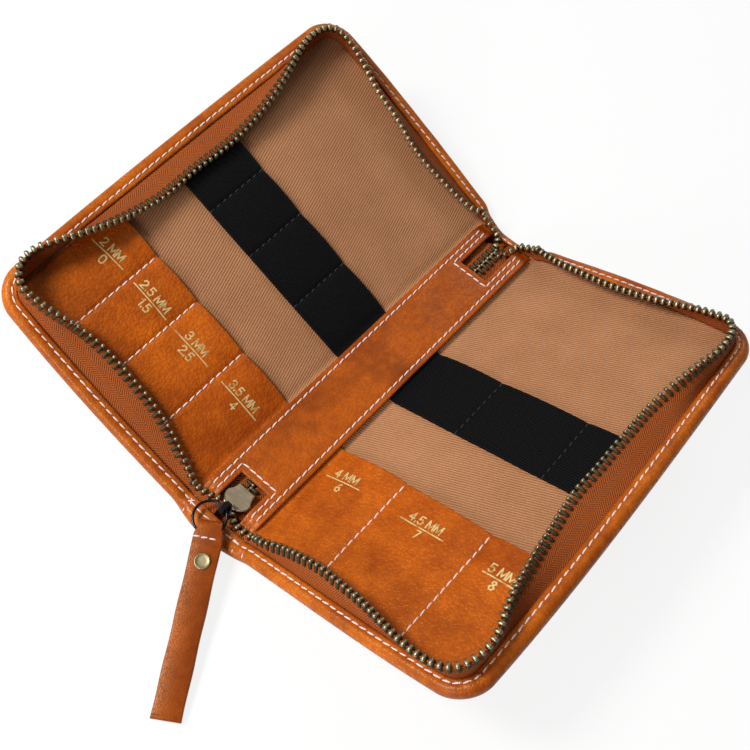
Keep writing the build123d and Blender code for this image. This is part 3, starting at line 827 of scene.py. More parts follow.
tape = {
    "foot": 5.35, "footHeight": 3.42, "rise": 0.25, "thickness": 0.5, "bow": 0.35, "bowOver": 8.0,
    "tailStart": -10.6, "tailStep": 0.15,  # of the feet beyond the cover, towards the spine
    "flange": ((2.2, -0.02), (1.2, -0.02), (0.35, 0.02), (0.0, 0.25)),  # outwards and up from the foot
    # distance along the outline from the bottom fold, lean towards the inside, and width
    "left": ((0, 49, 3.4), (8, 69, 5.4), (15, 69, 7.7), (20, 69, 8.6), (30, 69, 9.6), (40, 69, 9.7),
              (48, 69, 9.2), (56, 62, 8.3), (62, 31, 8.3), (69, 13, 8.3), (75, 10, 8.3),
              (84, -3, 8.3), (88, -17, 8.3), (92, -28, 8.3), (95, -31, 8.3), (99, -25, 8.3),
              (105, -9, 8.3), (111, 11, 8.3), (118, 27, 8.3), (125, 42, 8.3), (132, 57, 8.3),
              (140, 69, 8.6), (150, 67, 8.3), (159, 67, 8.3), (168, 69, 8.8), (177, 69, 8.8),
              (187, 55, 8.3), (198, 33, 8.3), (205, 15, 8.3), (213, -4, 8.3), (219, -11, 8.3),
              (224, -10, 8.3), (228, -1, 8.3), (236, 14, 8.3), (246, 13, 8.3), (254, 24, 8.3),
              (260, 36, 8.3), (265, 41, 8.3), (273, 43, 8.3), (283, 56, 8.3), (293, 59, 8.3),
              (302, 53, 8.3), (310, 48, 7.8), (315, 42, 6.7), (317, 36, 6.6)),
    "right": ((0, 16, 3.2), (8, 32, 5), (18, 23, 7.9), (26, 28, 8.3), (32, 23, 8.3), (39, 19, 8.3),
               (44, 13, 8.3), (49, 5, 8.3), (53, 1, 8.3), (57, -6, 8.3), (62, -11, 8.3),
               (65, -15, 8.3), (69, -16, 8.3), (72, -15, 8.3), (75, -10, 8.3), (80, -10, 8.3),
               (83, -10, 8.3), (88, -10, 8.3), (92, -14, 8.3), (95, -17, 8.3), (100, -16, 8.3),
               (106, 1, 8.3), (112, 16, 8.3), (118, 29, 8.3), (124, 38, 8.3), (132, 54, 8.3),
               (142, 63, 9.4), (153, 63, 10.2), (162, 63, 9.6), (173, 63, 9.7), (184, 62, 9.4),
               (193, 57, 8.4), (200, 28, 8.3), (208, 11, 8.3), (216, -5, 8.3), (222, -6, 8.3),
               (227, -1, 8.3), (234, 8, 8.3), (244, 11, 8.3), (252, 18, 8.3), (259, 27, 8.3),
               (266, 36, 8.3), (274, 41, 8.3), (281, 43, 8.3), (290, 42, 8.3), (298, 38, 8.3),
               (306, 36, 8.3), (312, 28, 7.3), (316, 21, 6.6), (317, 18, 6.6)),
    # free edge between the slider, or the joined chain at the top, and each cover: d, y, h
    "leftBottom": ((-10.6, -68.3, 3.8), (-8.5, -69.4, 4.2), (-6.7, -70.2, 4.3), (-4.3, -70.8, 4.4),
                   (-1.7, -71.1, 4.7), (1.0, -71.2, 5.0), (3.5, -71.1, 5.3)),
    "rightBottom": ((-12.1, -69.4, 3.7), (-10.8, -70.8, 4.0), (-9.4, -71.7, 4.2), (-7.9, -72.1, 4.3),
                    (-5.9, -72.2, 4.4), (-3.8, -72.1, 4.5), (-1.8, -71.8, 4.8), (0.5, -71.4, 5.2),
                    (3.0, -71.1, 5.6)),
    "leftTop": ((-11.95, 65.4, 3.5), (-11.3, 68.4, 4.3), (-9.8, 70.8, 5.0), (-7.4, 71.6, 6.0),
                (-4.8, 71.3, 7.4), (-2.2, 71.1, 8.5), (0.5, 71.1, 9.4), (3.5, 71.1, 10.2)),
    "rightTop": ((-11.95, 63.4, 3.5), (-10.2, 65.6, 4.1), (-8.9, 67.6, 4.7), (-8.4, 69.8, 5.6),
                 (-7.4, 71.4, 7.0), (-4.8, 72.0, 8.4), (-1.5, 72.2, 9.3), (2.5, 72.2, 10.2)),
}


def curveThrough(keys, count):
    # smooth curve through the keys: each span is a cubic whose end slopes are half the way from
    # the key before to the key after
    keys = np.asarray(keys, float)
    slope = np.gradient(keys, axis=0)
    t = np.linspace(0, len(keys) - 1, count)
    k = np.minimum(t.astype(int), len(keys) - 2)
    u = (t - k)[:, None]
    a, b, ma, mb = keys[k], keys[k + 1], slope[k], slope[k + 1]
    return ((2 * u ** 3 - 3 * u ** 2 + 1) * a + (u ** 3 - 2 * u ** 2 + u) * ma
            + (3 * u ** 2 - 2 * u ** 3) * b + (u ** 3 - u ** 2) * mb)


def softBetween(at, keys, values):
    # straight lines between the keys, then a running mean over 17 of 400 even steps
    even = np.linspace(0, at[-1], 400)
    soft = np.hanning(17) / np.hanning(17).sum()
    padded = np.pad(np.interp(even, keys, values), 8, "edge")
    return np.interp(at, even, np.convolve(padded, soft, "valid"))


def tapeLines(side):
    # foot and free edge of one tape from the slider round the cover to the joined chain at the
    # top, as flat places; on the cover the edge stands its width from the foot, leaning inwards,
    # and the two tails go on from there by the keys at either end
    rim = rimStations(5.0, 1.5, 12)
    base, way, run = rim["base"], rim["way"], rim["run"]
    keys, lean, wide = np.array(tape[side], float).T
    lean, wide = np.radians(softBetween(run, keys, lean)), softBetween(run, keys, wide)
    wobble = 0.12 * np.sin(run * 0.13 + 1) + 0.08 * np.sin(run * 0.31)
    foot = base - tape["foot"] * way
    edge = foot - (wide * np.sin(lean) + wobble)[:, None] * way
    level = tape["footHeight"] + tape["rise"] + wide * np.cos(lean)
    foot = np.column_stack([foot, np.full(len(run), tape["footHeight"])])
    edge = np.column_stack([edge, level])
    tails = []
    for end, sign, near in (("Bottom", -1, edge[0]), ("Top", 1, edge[-1])):
        line = curveThrough([*tape[side + end], near], 22)[:-1]
        start = np.maximum(line[:, 0], tape["tailStart"] + tape["tailStep"] * np.arange(len(line)))
        level = sign * (case["halfLength"] - tape["foot"])
        feet = np.column_stack([start, np.full(len(line), level), np.full(len(line), tape["footHeight"])])
        tails.append((feet, line))
    foot = np.concatenate([tails[0][0], foot, tails[1][0][::-1]])
    edge = np.concatenate([tails[0][1], edge, tails[1][1][::-1]])
    soft = edge.copy()
    for i in range(3):  # running mean over seven neighbours
        soft[3:-3, i] = np.convolve(edge[:, i], np.hanning(9)[1:-1] / 4, "valid")
    return foot, soft


def surfaceNormals(points):
    # cross product of the two ways along the grid
    return unit(np.cross(np.gradient(points, axis=0), np.gradient(points, axis=1)))


def rimWay(foot):
    # unit way outwards at a foot place: away from the corner's centre, or straight off the side
    half, out, r = case["halfLength"], case["cover"], case["corner"]
    centre = np.column_stack([np.minimum(foot[:, 0], out - r), np.clip(foot[:, 1], r - half, half - r)])
    return unit(foot[:, :2] - centre)


def tapeGrid(side):
    # the tape's section from its sewn flange up the wall: straight lines from foot to free
    # edge, bowed outwards by a sine
    foot, edge = tapeLines(side)
    way = np.column_stack([rimWay(foot), np.zeros(len(foot))])[:, None, :]
    out, up = np.array(tape["flange"]).T[..., None]
    flange = foot[:, None, :] + out * way + up * np.array([0, 0, 1.0])
    v = np.linspace(0, 1, 10)[1:, None]
    start = flange[:, -1:]
    width = np.linalg.norm(edge - foot, axis=1)[:, None, None]
    wall = start + v * (edge[:, None, :] - start)
    wall = wall + tape["bow"] * np.sin(v * math.pi) * np.clip(width / tape["bowOver"], 0, 1) * way
    return np.concatenate([flange, wall], axis=1)


def zipTape(side):
    # its middle surface, shifted half the thickness to either side; the texture runs from the
    # free edge and along it
    flat = tapeGrid(side)
    middle = fold(flat[..., 0], flat[..., 1], flat[..., 2], side)
    off = surfaceNormals(middle) * tape["thickness"] / 2
    across = np.linalg.norm(np.diff(middle, axis=1), axis=-1)[:, ::-1].cumsum(axis=1)[:, ::-1]
    across = np.pad(across, ((0, 0), (0, 1)))
    along = runAlong(middle[:, -1])
    piece = slabPiece(side + "ZipTape", middle + off, middle - off, finish["tape"],
                      uvGrid(across, along[:, None]))
    coverPiece(piece, side, "zip_tape", side + "_zip_tape")
    area = float((np.diff(along) * (across[1:, 0] + across[:-1, 0]) / 2).sum())
    print(side, "tape length", round(along[-1], 1), "area", round(area, 1))
    return middle, along


# ---- teeth

tooth = {
    "pitch": 2.4, "sink": 0.05,
    # beside the slider the heads look up: until where, over what length, and which way
    "twistEnd": 16.0, "twistOver": 8.0, "twist": (0.0, -0.4, 1.2),
    # along the chain, through the tape, and place towards the head
    "rings": ((0.4, 0.62, -1.85), (0.54, 0.9, -1.7), (0.6, 1.02, -0.9), (0.64, 1.12, -0.1),
              (0.54, 0.95, 0.35), (0.6, 1.04, 0.7), (0.68, 1.16, 1.0), (0.62, 1.0, 1.3), (0.36, 0.55, 1.5)),
}


def toothShape():
    # rounded rectangle rings carried from the legs' ends to the bead at the head
    rings = np.array(tooth["rings"])
    corner = np.array([(1, 0.5), (0.6, 1), (-0.6, 1), (-1, 0.5),
                       (-1, -0.5), (-0.6, -1), (0.6, -1), (1, -0.5)])
    height = np.broadcast_to(rings[:, None, 2:], (len(rings), 8, 1))
    points = np.concatenate([rings[:, None, :2] * corner, height], axis=-1)
    # v rises from the legs to the bead: the brass finish paints the heads light and the legs brown by it,
    # partly painted highlight and painted shade
    shade = np.repeat(smooth(rings[:, 2] + 0.1), 8)
    return points.reshape(-1, 3), tubeFaces(len(rings), 8), np.column_stack([shade, shade])


def toothPiece(name, place, along, up):
    # every tooth's own frame: along the chain, through the tape, and towards the head
    return copiesPiece(name, *toothShape(), place, (along, np.cross(up, along), up), finish["teeth"])


def coverTeeth(side, middle, along, first):
    # a tooth every pitch along the tape's free edge, standing as the tape's last rows do
    edge, below = middle[:, -1], middle[:, -3]
    run = np.arange(first, along[-1] - 0.4, tooth["pitch"])
    way = unit(pick(run, along, np.gradient(edge, axis=0)))
    up = unit(pick(run, along, unit(edge - below)))
    twist = (1 - smooth((run - tooth["twistEnd"]) / tooth["twistOver"]))[:, None]
    up = squared(unit(up + twist * np.array(tooth["twist"])), way)
    place = pick(run, along, edge) - up * tooth["sink"]
    piece = toothPiece(side + "ZipTeeth", place, way, up)
    return coverPiece(piece, side, "zip_brass", side + "_zip_teeth")


for side, first in (("left", 0.4), ("right", 1.6)):
    middle, along = zipTape(side)
    coverTeeth(side, middle, along, first)
print("zip on the covers made")


# ---- zip in the two notches of the spine

well = {
    "inner": {"bottom": -54.2, "top": 47.8}, "mouth": {"bottom": -69.5, "top": 67.0},
    "lastTooth": {"bottom": -63.5, "top": 66.0}, "firstTooth": 0.8,
    "edge": 1.05, "foot": 6.4, "edgeHeight": 3.5, "footHeight": 2.5, "wave": 0.15,
    "width": 5.3, "sink": 0.1,
}


def wellTape(end):
    # both tapes slope down from the joined chain to under the strip by a soft step
    y = np.linspace(well["inner"][end], well["mouth"][end], 24)
    v = np.linspace(0, 1, 9)
    level = well["edgeHeight"] - (well["edgeHeight"] - well["footHeight"]) * smooth(v * 1.1)
    tapes = []
    for sign in (-1, 1):
        x = sign * (well["edge"] + v * (well["foot"] - well["edge"]))
        wave = well["wave"] * np.sin(y[:, None] * 0.8 + sign) * np.sin(v * math.pi)
        points = np.stack(np.broadcast_arrays(x, y[:, None], level + wave), axis=-1)
        low = points - [0, 0, tape["thickness"]]
        uv = uvGrid(v * well["width"], y[:, None])
        tapes.append(slabPiece(f"{end}EndTape{sign}", points, low, finish["tape"], uv))
    piece = joined(tapes)
    piece.name = end + "EndTape"
    bodyPiece(piece, "spine", "zip_tape", "zip_end_tape_" + end)


def wellTeeth(end):
    # a row on each tape's edge, half a pitch apart, with the heads towards the middle
    inner, last, pitch = well["inner"][end], well["lastTooth"][end], tooth["pitch"]
    low, high = sorted((inner + math.copysign(well["firstTooth"], last - inner), last))
    places, ups = [], []
    for sign in (-1, 1):
        run = np.arange(low + (pitch / 2 if sign > 0 else 0), high, pitch)
        places.append(np.column_stack([np.full(len(run), sign * well["edge"]), run,
                                       np.full(len(run), well["edgeHeight"] - well["sink"])]))
        ups.append(np.tile([-float(sign), 0, 0], (len(run), 1)))
    place = np.concatenate(places)
    way = np.tile([0.0, 1.0, 0.0], (len(place), 1))
    teeth = toothPiece(end + "EndTeeth", place, way, np.concatenate(ups))
    bodyPiece(teeth, "spine", "zip_brass", "zip_end_teeth_" + end)


for end in ("bottom", "top"):
    wellTape(end)
    wellTeeth(end)


# ---- spine strip

strip = {
    "half": 11.2, "end": 71.4, "notch": 5.5, "notchLow": -58.2, "notchHigh": 51.7,
    "bottom": 4.5, "top": 5.56, "seam": 1.85, "dip": 0.16, "dipWidth": 0.45, "puff": 0.1,
    "edge": 0.34, "edgeWidth": 0.5, "tuck": 1.7, "tuckRun": 5.0,
}


def toBox(x, y, x0, x1, y0, y1):
    # distance to a rectangle: positive outside it, negative inside
    dx = np.maximum(x0 - x, x - x1)
    dy = np.maximum(y0 - y, y - y1)
    return np.hypot(np.maximum(dx, 0), np.maximum(dy, 0)) + np.minimum(np.maximum(dx, dy), 0)


def spineStrip():
    # a rectangle less two notches; its top is rounded along the outline, dips along the seams
    # that follow it, and is a little uneven between them
    w, n, end = strip["half"], strip["notch"], strip["end"]
    low, high = strip["notchLow"], strip["notchHigh"]
    fine = np.array([0, 0.1, 0.25, 0.5, 0.9, 1.35, 1.6, 1.85, 2.1, 2.4])  # distances from an edge
    xs = np.concatenate([fine, w - n - fine[::-1], w - n + fine, [8.4, 9.8]])
    x = np.unique(np.round(np.concatenate([xs - w, [0], w - xs]), 4))
    y = np.unique(np.round(np.concatenate([
        fine - end, low - fine, low + fine, np.linspace(low + 3, high - 3, 60), high - fine,
        high + fine, end - fine, np.linspace(3 - end, low - 3, 5), np.linspace(high + 3, end - 3, 8)]), 4))
    x, y = np.meshgrid(x, y, indexing="ij")
    notches = np.minimum(toBox(x, y, -n, n, -99, low), toBox(x, y, -n, n, high, 99))
    depth = np.clip(-np.maximum(toBox(x, y, -w, w, -end, end), -notches), 0, 9)
    h = strip["top"] - strip["edge"] * roundOver(depth, strip["edgeWidth"])
    h = h - strip["dip"] * bell(depth - strip["seam"], strip["dipWidth"])
    puff = strip["puff"] + 0.07 * np.sin(y * 0.33 + x * 0.2) + 0.05 * np.sin(x * 0.9 + y * 0.11)
    h = h + smooth((depth - 2.2) / 2.5) * puff
    # quads whose middle lies in a notch are left out
    middleX, middleY = [(c[1:, 1:] + c[:-1, :-1]) / 2 for c in (x, y)]
    keep = (np.abs(middleX) >= n) | ((middleY >= low) & (middleY <= high))
    tuck = strip["tuck"] * smooth(1 - (end - np.abs(y)) / strip["tuckRun"])
    top = np.stack([x, y, h - tuck], axis=-1)
    under = np.stack([x, y, strip["bottom"] - tuck * 0.9], axis=-1)
    piece = slabPiece("spineStrip", top, under, finish["strip"], uvGrid(x, y), finish["cut"], keep)
    return bodyPiece(piece, "spine", "inner_leather", "spine_strip")


spineStrip()
print("spine made")


# ---- stitches

# skew is in degrees, wobble in radians; hem is the height of the rows on the leather's hem
stitch = {"pitch": 2.95, "length": 2.8, "radius": 0.29, "skew": 6.0, "wobble": 0.05, "hem": 4.64}
bandThread = {"length": 2.1, "radius": 0.26}
lapThread = {"pitch": 9, "length": 2.6, "radius": 0.24, "skew": 0}
strapThread = {"pitch": 2.5, "length": 2.25}


def stitchShape(length, radius):
    # capsule: circles along the thread, its ends narrowing and dipping below the surface by the
    # fourth power of the distance
    t = np.array([-1, -0.86, -0.55, 0, 0.55, 0.86, 1])[:, None]
    wide = radius * np.array([0.2, 0.5, 0.85, 1.05, 0.95, 0.65, 0.25])[:, None]
    a = np.arange(6) * math.pi / 3
    points = np.stack(np.broadcast_arrays(
        t * length / 2, wide * np.cos(a), wide * np.sin(a) - radius * np.abs(t) ** 4), axis=-1)
    return points.reshape(-1, 3), tubeFaces(7, 6), uvGrid(t * 1.5, a / (2 * math.pi)).reshape(-1, 2)


def stitches(name, lines, material, **own):
    # lines are rows of points and of the surface's way up; the stitches are spaced evenly along
    # them, each turned a little from the line as a sewing machine leaves them; own holds what
    # these rows have in place of stitch's values
    look = stitch | own
    places, ways, ups = [], [], []
    for points, up in lines:
        run = runAlong(points)
        count = max(int(round(run[-1] / look["pitch"])), 1)
        at = (np.arange(count) + 0.5) * run[-1] / count
        places.append(pick(at, run, points))
        ways.append(unit(pick(at + 0.4, run, points) - pick(at - 0.4, run, points)))
        ups.append(unit(pick(at, run, up)))
    place, way, up = [np.concatenate(rows) for rows in (places, ways, ups)]
    up = squared(up, way)
    side = np.cross(up, way)
    turn = math.radians(look["skew"]) + look["wobble"] * np.sin(np.arange(len(place)) * 2.3)[:, None]
    way, side = way * np.cos(turn) + side * np.sin(turn), side * np.cos(turn) - way * np.sin(turn)
    shape = stitchShape(look["length"], look["radius"])
    return copiesPiece(name, *shape, place, (way, side, up), material)


def coverLine(d, y, h, side):
    # places on a cover and the way up from it
    d, y, h = np.broadcast_arrays(np.asarray(d, float), y, h)
    points = fold(d, y, h, side)
    return points, fold(d, y, h + 0.1, side) - points


def hemLine(side):
    # a fixed inset from the cover's outline
    rim = rimStations(-2.0, 1.5)
    place = rimPlace(rim, case["stitchInset"])[:, 0]
    return coverLine(place[:, 0], place[:, 1], stitch["hem"], side)


def seamLine(side, seam, low, high, count, height, lift):
    # along one seam, a little over the surface that the height function gives
    d, y = np.full(count, seam), np.linspace(low, high, count)
    return coverLine(d, y, height(d, y, side) + lift, side)


for side in bodies:
    coverPiece(stitches(side + "HemStitches", [hemLine(side)], finish["white"]), side, "lining_twill")
    rows = [seamLine(side, seam, -72, float(pocketTop(seam, side)) - 0.9, 40, pocketHeight, 0.06)
            for seam in seams[side]]
    coverPiece(stitches(side + "PocketStitches", rows, finish["white"]), side, "lining_twill")
    rows = [seamLine(side, seam, band["low"] - 0.3, band["low"] + band["width"] + 0.3, 30, bandHeight, 0.02)
            for seam in seams[side]]
    sewn = stitches(side + "BandStitches", rows, finish["black"], **bandThread)
    coverPiece(sewn, side, "elastic")


# the lapped leather beside the spine: distance from the fold, inset and height of each short
# stitch's two ends
laps = {
    "left": (((-3.7, 4.5, 4.75), (-1.5, 2.5, 4.8)), ((-1.5, 4.5, 4.75), (-3.7, 2.5, 4.8)),
             ((-2.4, 1.9, 4.75), (-2.9, -0.05, 3.3))),
    "right": (((-4.6, 3.6, 4.8), (-2.6, 3.2, 4.8)), ((-3.2, 2.6, 4.8), (-2.6, 0.5, 4.0)),
              ((1.5, 2.4, 4.78), (2.2, 0.4, 3.9))),
}


def lapStitches(side):
    # every row is one short stitch between its two ends
    rows = []
    for start, end in laps[side]:
        d, inset, h = np.array([start, end]).T
        rows.append(coverLine(d, inset - case["halfLength"], h, side))
    piece = stitches(side + "LapStitches", rows, finish["white"], **lapThread)
    coverPiece(piece, side, "lining_twill")


for side in bodies:
    lapStitches(side)


def levelLine(points, height, step=0.8):
    # straight runs between the points on a level surface
    points = np.asarray(points, float)
    run = runAlong(points)
    at = np.linspace(0, run[-1], int(run[-1] / step) + 2)
    line = np.column_stack([pick(at, run, points), np.full(len(at), height)])
    return line, np.tile([0.0, 0.0, 1.0], (len(at), 1))


# places of the rows on the spine: long rows on either side of the strip, rows round its notches,
# and rows across the leather at both ends
spineSeam = {
    "side": 9.3, "sideEnd": 67.2, "notch": 7.3, "notchEnd": 67.4, "low": -55.9, "high": 49.4,
    "height": 5.62, "across": 10.8,
}


def spineRows():
    # level lines on the strip, then lines that follow the leather's drawn-in ends
    x, end, n, out = (spineSeam[key] for key in ("side", "sideEnd", "notch", "notchEnd"))
    low, high = spineSeam["low"], spineSeam["high"]
    lines = [[(-x, -end), (-x, end)], [(x, -end), (x, end)],
             [(-n, -out), (-n, low), (n, low), (n, -out)], [(-n, out), (-n, high), (n, high), (n, out)]]
    rows = [levelLine(line, spineSeam["height"]) for line in lines]
    x = np.linspace(-spineSeam["across"], spineSeam["across"], 24)
    for sign in (-1, 1):
        edge = np.full(24, sign * (case["halfLength"] - case["stitchInset"]))
        y, h = spineEnds(np.abs(x) - case["halfSpine"], edge, stitch["hem"])
        rows.append((np.column_stack([x, y, h]), np.tile([0.0, 0.0, 1.0], (24, 1))))
    return rows


bodyPiece(stitches("spineStitches", spineRows(), finish["white"]), "spine", "lining_twill")
print("stitches made")


# ---- gold marks: a rule with a size above it and a number below

marks = {
    "stroke": 0.48, "cap": 2.75, "lift": 0.045, "ruleWidth": 0.42, "gap": 0.95,
    # rule's two ends on the flat cover, words above and below
    "left": (((80, -43), (67, -42), "2 MM", "0"), ((61.6, -42.1), (46.4, -42.4), "2.5 MM", "1.5"),
             ((41.8, -42.4), (26.6, -42.5), "3 MM", "2.5"), ((20.1, -42.4), (3.6, -42.6), "3.5 MM", "4")),
    "right": (((3.6, -41), (17.1, -40), "4 MM", "6"), ((34.7, -40.4), (51.2, -40.3), "4.5 MM", "7"),
              ((66.9, -41.8), (77.5, -41.8), "5 MM", "8")),
}
# strokes of each sign in a box 1 high, and the width of the box
signs = {
    "0": (0.62, [[(0, .25), (0, .75), (.15, 1), (.45, 1), (.6, .75), (.6, .25), (.45, 0), (.15, 0),
                  (0, .25)]]),
    "1": (0.34, [[(.05, .8), (.3, 1), (.3, 0)]]),
    "2": (0.62, [[(.02, .75), (.15, .97), (.42, 1), (.58, .8), (.55, .58), (0, .0), (.62, 0)]]),
    "3": (0.62, [[(.02, .8), (.15, 1), (.45, 1), (.58, .78), (.45, .56), (.22, .54)],
                 [(.45, .56), (.61, .3), (.48, 0), (.14, 0), (0, .2)]]),
    "4": (0.66, [[(.46, 0), (.46, 1), (0, .3), (.64, .3)]]),
    "5": (0.62, [[(.55, 1), (.08, 1), (.04, .56), (.4, .62), (.6, .36), (.48, .04), (.16, 0), (0, .16)]]),
    "6": (0.62, [[(.5, 1), (.2, .82), (.02, .4), (.14, .02), (.45, 0), (.6, .28), (.45, .54), (.05, .46)]]),
    "7": (0.6, [[(0, 1), (.6, 1), (.2, 0)]]),
    "8": (0.62, [[(.3, .54), (.06, .76), (.18, 1), (.42, 1), (.54, .76), (.3, .54), (.01, .26), (.15, 0),
                  (.45, 0), (.6, .26), (.3, .54)]]),
    ".": (0.14, [[(.05, 0), (.05, .12)]]),
    "M": (0.86, [[(0, 0), (.04, 1), (.43, .12), (.82, 1), (.86, 0)]]),
    " ": (0.2, []),
}


def wordStrokes(word, cap, gap=0.2):
    # polylines of a word, centred on 0, standing on 0
    lines, x = [], 0.0
    for sign in word:
        wide, strokes = signs[sign]
        lines += [np.array(stroke, float) * cap + [x, 0] for stroke in strokes]
        x += (wide + gap) * cap
    middle = (x - gap * cap) / 2
    return [line - [middle, 0] for line in lines]


def inkFaces(lines, width):
    # each straight run is a flat strip of quads a little longer than the run, so corners close
    quads = []
    for line in lines:
        a, b = line[:-1], line[1:]
        way = unit(b - a)
        a, b = a - way * width * 0.45, b + way * width * 0.45
        side = np.column_stack([-way[:, 1], way[:, 0]]) * width / 2
        pieces = np.maximum((np.linalg.norm(b - a, axis=1) / 1.5).astype(int), 1)
        for i, n in enumerate(pieces):
            t = np.linspace(0, 1, n + 1)[:, None]
            mid, off = a[i] + (b[i] - a[i]) * t, side[i]
            quads.append(np.stack([mid[:-1] - off, mid[1:] - off, mid[1:] + off, mid[:-1] + off], 1))
    return np.concatenate(quads)


def goldMarks(side):
    # a rule about its own middle with the words over and under it, turned to lie along the
    # rule's place, then lifted onto the pocket
    flip = -1 if side == "left" else 1  # on the left cover d runs against the reading direction
    quads = []
    for start, end, above, below in marks[side]:
        a, b = np.array(start, float), np.array(end, float)
        middle, way, half = (a + b) / 2, unit(b - a), np.linalg.norm(b - a) / 2
        up = np.array([-way[1], way[0]]) * flip
        rule = [np.array([[-half, 0], [half, 0]])]
        words = [w + [0, marks["gap"]] for w in wordStrokes(above, marks["cap"])]
        words += [w - [0, marks["gap"] + marks["cap"]] for w in wordStrokes(below, marks["cap"])]
        flat = np.concatenate([inkFaces(rule, marks["ruleWidth"]), inkFaces(words, marks["stroke"])])
        quads.append(middle + flat[..., :1] * way + flat[..., 1:] * up)
    flat = np.concatenate(quads).reshape(-1, 2)
    h = pocketHeight(flat[:, 0], flat[:, 1], side) + marks["lift"]
    points = fold(flat[:, 0], flat[:, 1], h, side)
    faces = np.arange(len(flat)).reshape(-1, 4)
    piece = newPiece(side + "GoldMarks", points, faces, finish["gold"], merge=0.0005)
    return coverPiece(piece, side, "rivet_brass")


for side in bodies:
    goldMarks(side)
print("marks made")


# ---- strap

ring = {"radius": 5.2, "wire": 0.46}
# centre is the ring's; down and up are the ways along the strap and out of it
strap = {
    "centre": (-1.4556, -76.1802, 7.2558), "down": (0.5418, -0.8344, -0.1012),
    "up": (0.0551, -0.0849, 0.9949), "length": 54.8, "width": 8.9, "foldWidth": 7.3,
    "thickness": 1.1, "foldBack": -2.55, "loop": 1.14, "eye": 4.6, "sag": 0.3,
    "seam": 1.6, "seamLift": 1.78, "seamHalf": 3.7, "seamSlope": 0.04, "shift": 0.9,
}


def strapLeather():
    # one strip folded double round the ring: its middle line runs up the underside, round the
    # fold and down the top, and a rounded section is carried along it
    t, loop, back = strap["thickness"], strap["loop"], strap["foldBack"]
    flat = t / 2 + 0.02
    x = np.concatenate([np.linspace(strap["length"], strap["eye"] + 0.5, 30),
                        np.linspace(strap["eye"], 0.6, 8), np.linspace(0.2, back, 5)])
    lift = flat + (loop - flat) * smooth((strap["eye"] - x) / (strap["eye"] - 0.9))
    a = np.linspace(-math.pi / 2, math.pi / 2, 11)[1:-1]
    line = np.concatenate([
        np.column_stack([x, -lift]),
        np.column_stack([back - loop * np.cos(a), loop * np.sin(a)]),
        np.column_stack([x, lift])[::-1]])
    way = unit(np.gradient(line, axis=0))
    out = np.column_stack([way[:, 1], -way[:, 0]])
    # section: half width and half thickness with rounded edges
    edge = np.array([(1, 0.0), (0.995, 0.55), (0.97, 0.86), (0.92, 1.0), (0.5, 1.02), (0, 1.04),
                     (-0.5, 1.02), (-0.92, 1.0), (-0.97, 0.86), (-0.995, 0.55), (-1, 0.0),
                     (-0.995, -0.55), (-0.97, -0.86), (-0.92, -1.0), (0, -1.0), (0.92, -1.0),
                     (0.97, -0.86), (0.995, -0.55)])
    widen = (strap["width"] - strap["foldWidth"]) / 2
    half = strap["foldWidth"] / 2 + widen * smooth((line[:, 0] + 2.5) / 3.5)
    half = half + 0.08 * np.sin(line[:, 0] * 0.35)
    across = edge[None, :, 0] * half[:, None]
    thick = edge[None, :, 1] * t / 2
    bow = -strap["sag"] * np.sin(np.clip(line[:, 0] / strap["length"], 0, 1) * math.pi)
    x = line[:, :1] + out[:, :1] * thick
    z = line[:, 1:] + out[:, 1:] * thick + bow[:, None]
    down, up = np.array(strap["down"]), np.array(strap["up"])
    left = np.cross(up, down)
    origin = np.array(strap["centre"]) + down * ring["radius"]
    across = across + strap["shift"] * (1 - x / strap["length"])
    points = origin + x[..., None] * down + across[..., None] * left + z[..., None] * up
    n, m = points.shape[:2]
    cut = np.isin(np.tile(np.arange(m), n - 1), (0, 1, 7, 8, 9, 10, 17))  # the section's two edges
    slots = np.concatenate([cut.astype(int), [1, 1]])
    piece = newPiece("pullStrap", points, tubeFaces(n, m), [finish["strap"], finish["cut"]],
                     slots=slots, merge=0.0005)
    bodyPiece(piece, "pull", "strap_leather", "pull_strap")
    bar = np.linspace(-strap["seamHalf"], strap["seamHalf"], 12)[:, None]
    line = origin + (strap["seam"] + bar * strap["seamSlope"]) * down + bar * left + strap["seamLift"] * up
    rows = [(line, np.tile(up, (len(line), 1)))]
    sewn = stitches("strapStitches", rows, finish["white"], **strapThread)
    bodyPiece(sewn, "pull", "lining_twill")


# cap and foot are distance from the axis and height: a rolled rim round a dished middle, and a
# flat button under the strap; share is how much of the strap's shift is left at the rivet
rivet = {
    "radius": 2.65, "rise": 1.15, "capHeight": 0.45, "footHeight": -1.6, "share": 0.8,
    "cap": ((1.0, -0.2), (1.0, 0.12), (0.985, 0.36), (0.94, 0.6), (0.88, 0.74), (0.81, 0.78),
            (0.75, 0.74), (0.69, 0.66), (0.62, 0.61), (0.45, 0.59), (0.25, 0.58), (0.0, 0.58)),
    "foot": ((0.0, 0.0), (0.8, 0.0), (0.85, 0.25), (0.8, 0.6)),
}


def pullRing():
    # a circle of wire: a small circle carried round a large one
    centre, up, down = (np.array(strap[k]) for k in ("centre", "up", "down"))
    side = np.cross(up, down)
    a = np.linspace(0, 2 * math.pi, 73)[:-1, None, None]
    b = np.linspace(0, 2 * math.pi, 15)[None, :-1, None]
    out = np.cos(a) * down + np.sin(a) * side
    points = centre + out * (ring["radius"] + ring["wire"] * np.cos(b)) + up * ring["wire"] * np.sin(b)
    piece = gridPiece("pullRing", points, finish["dark"], closedU=True, closedV=True, merge=0.0005)
    bodyPiece(piece, "ring", "dark_metal", "pull_ring")


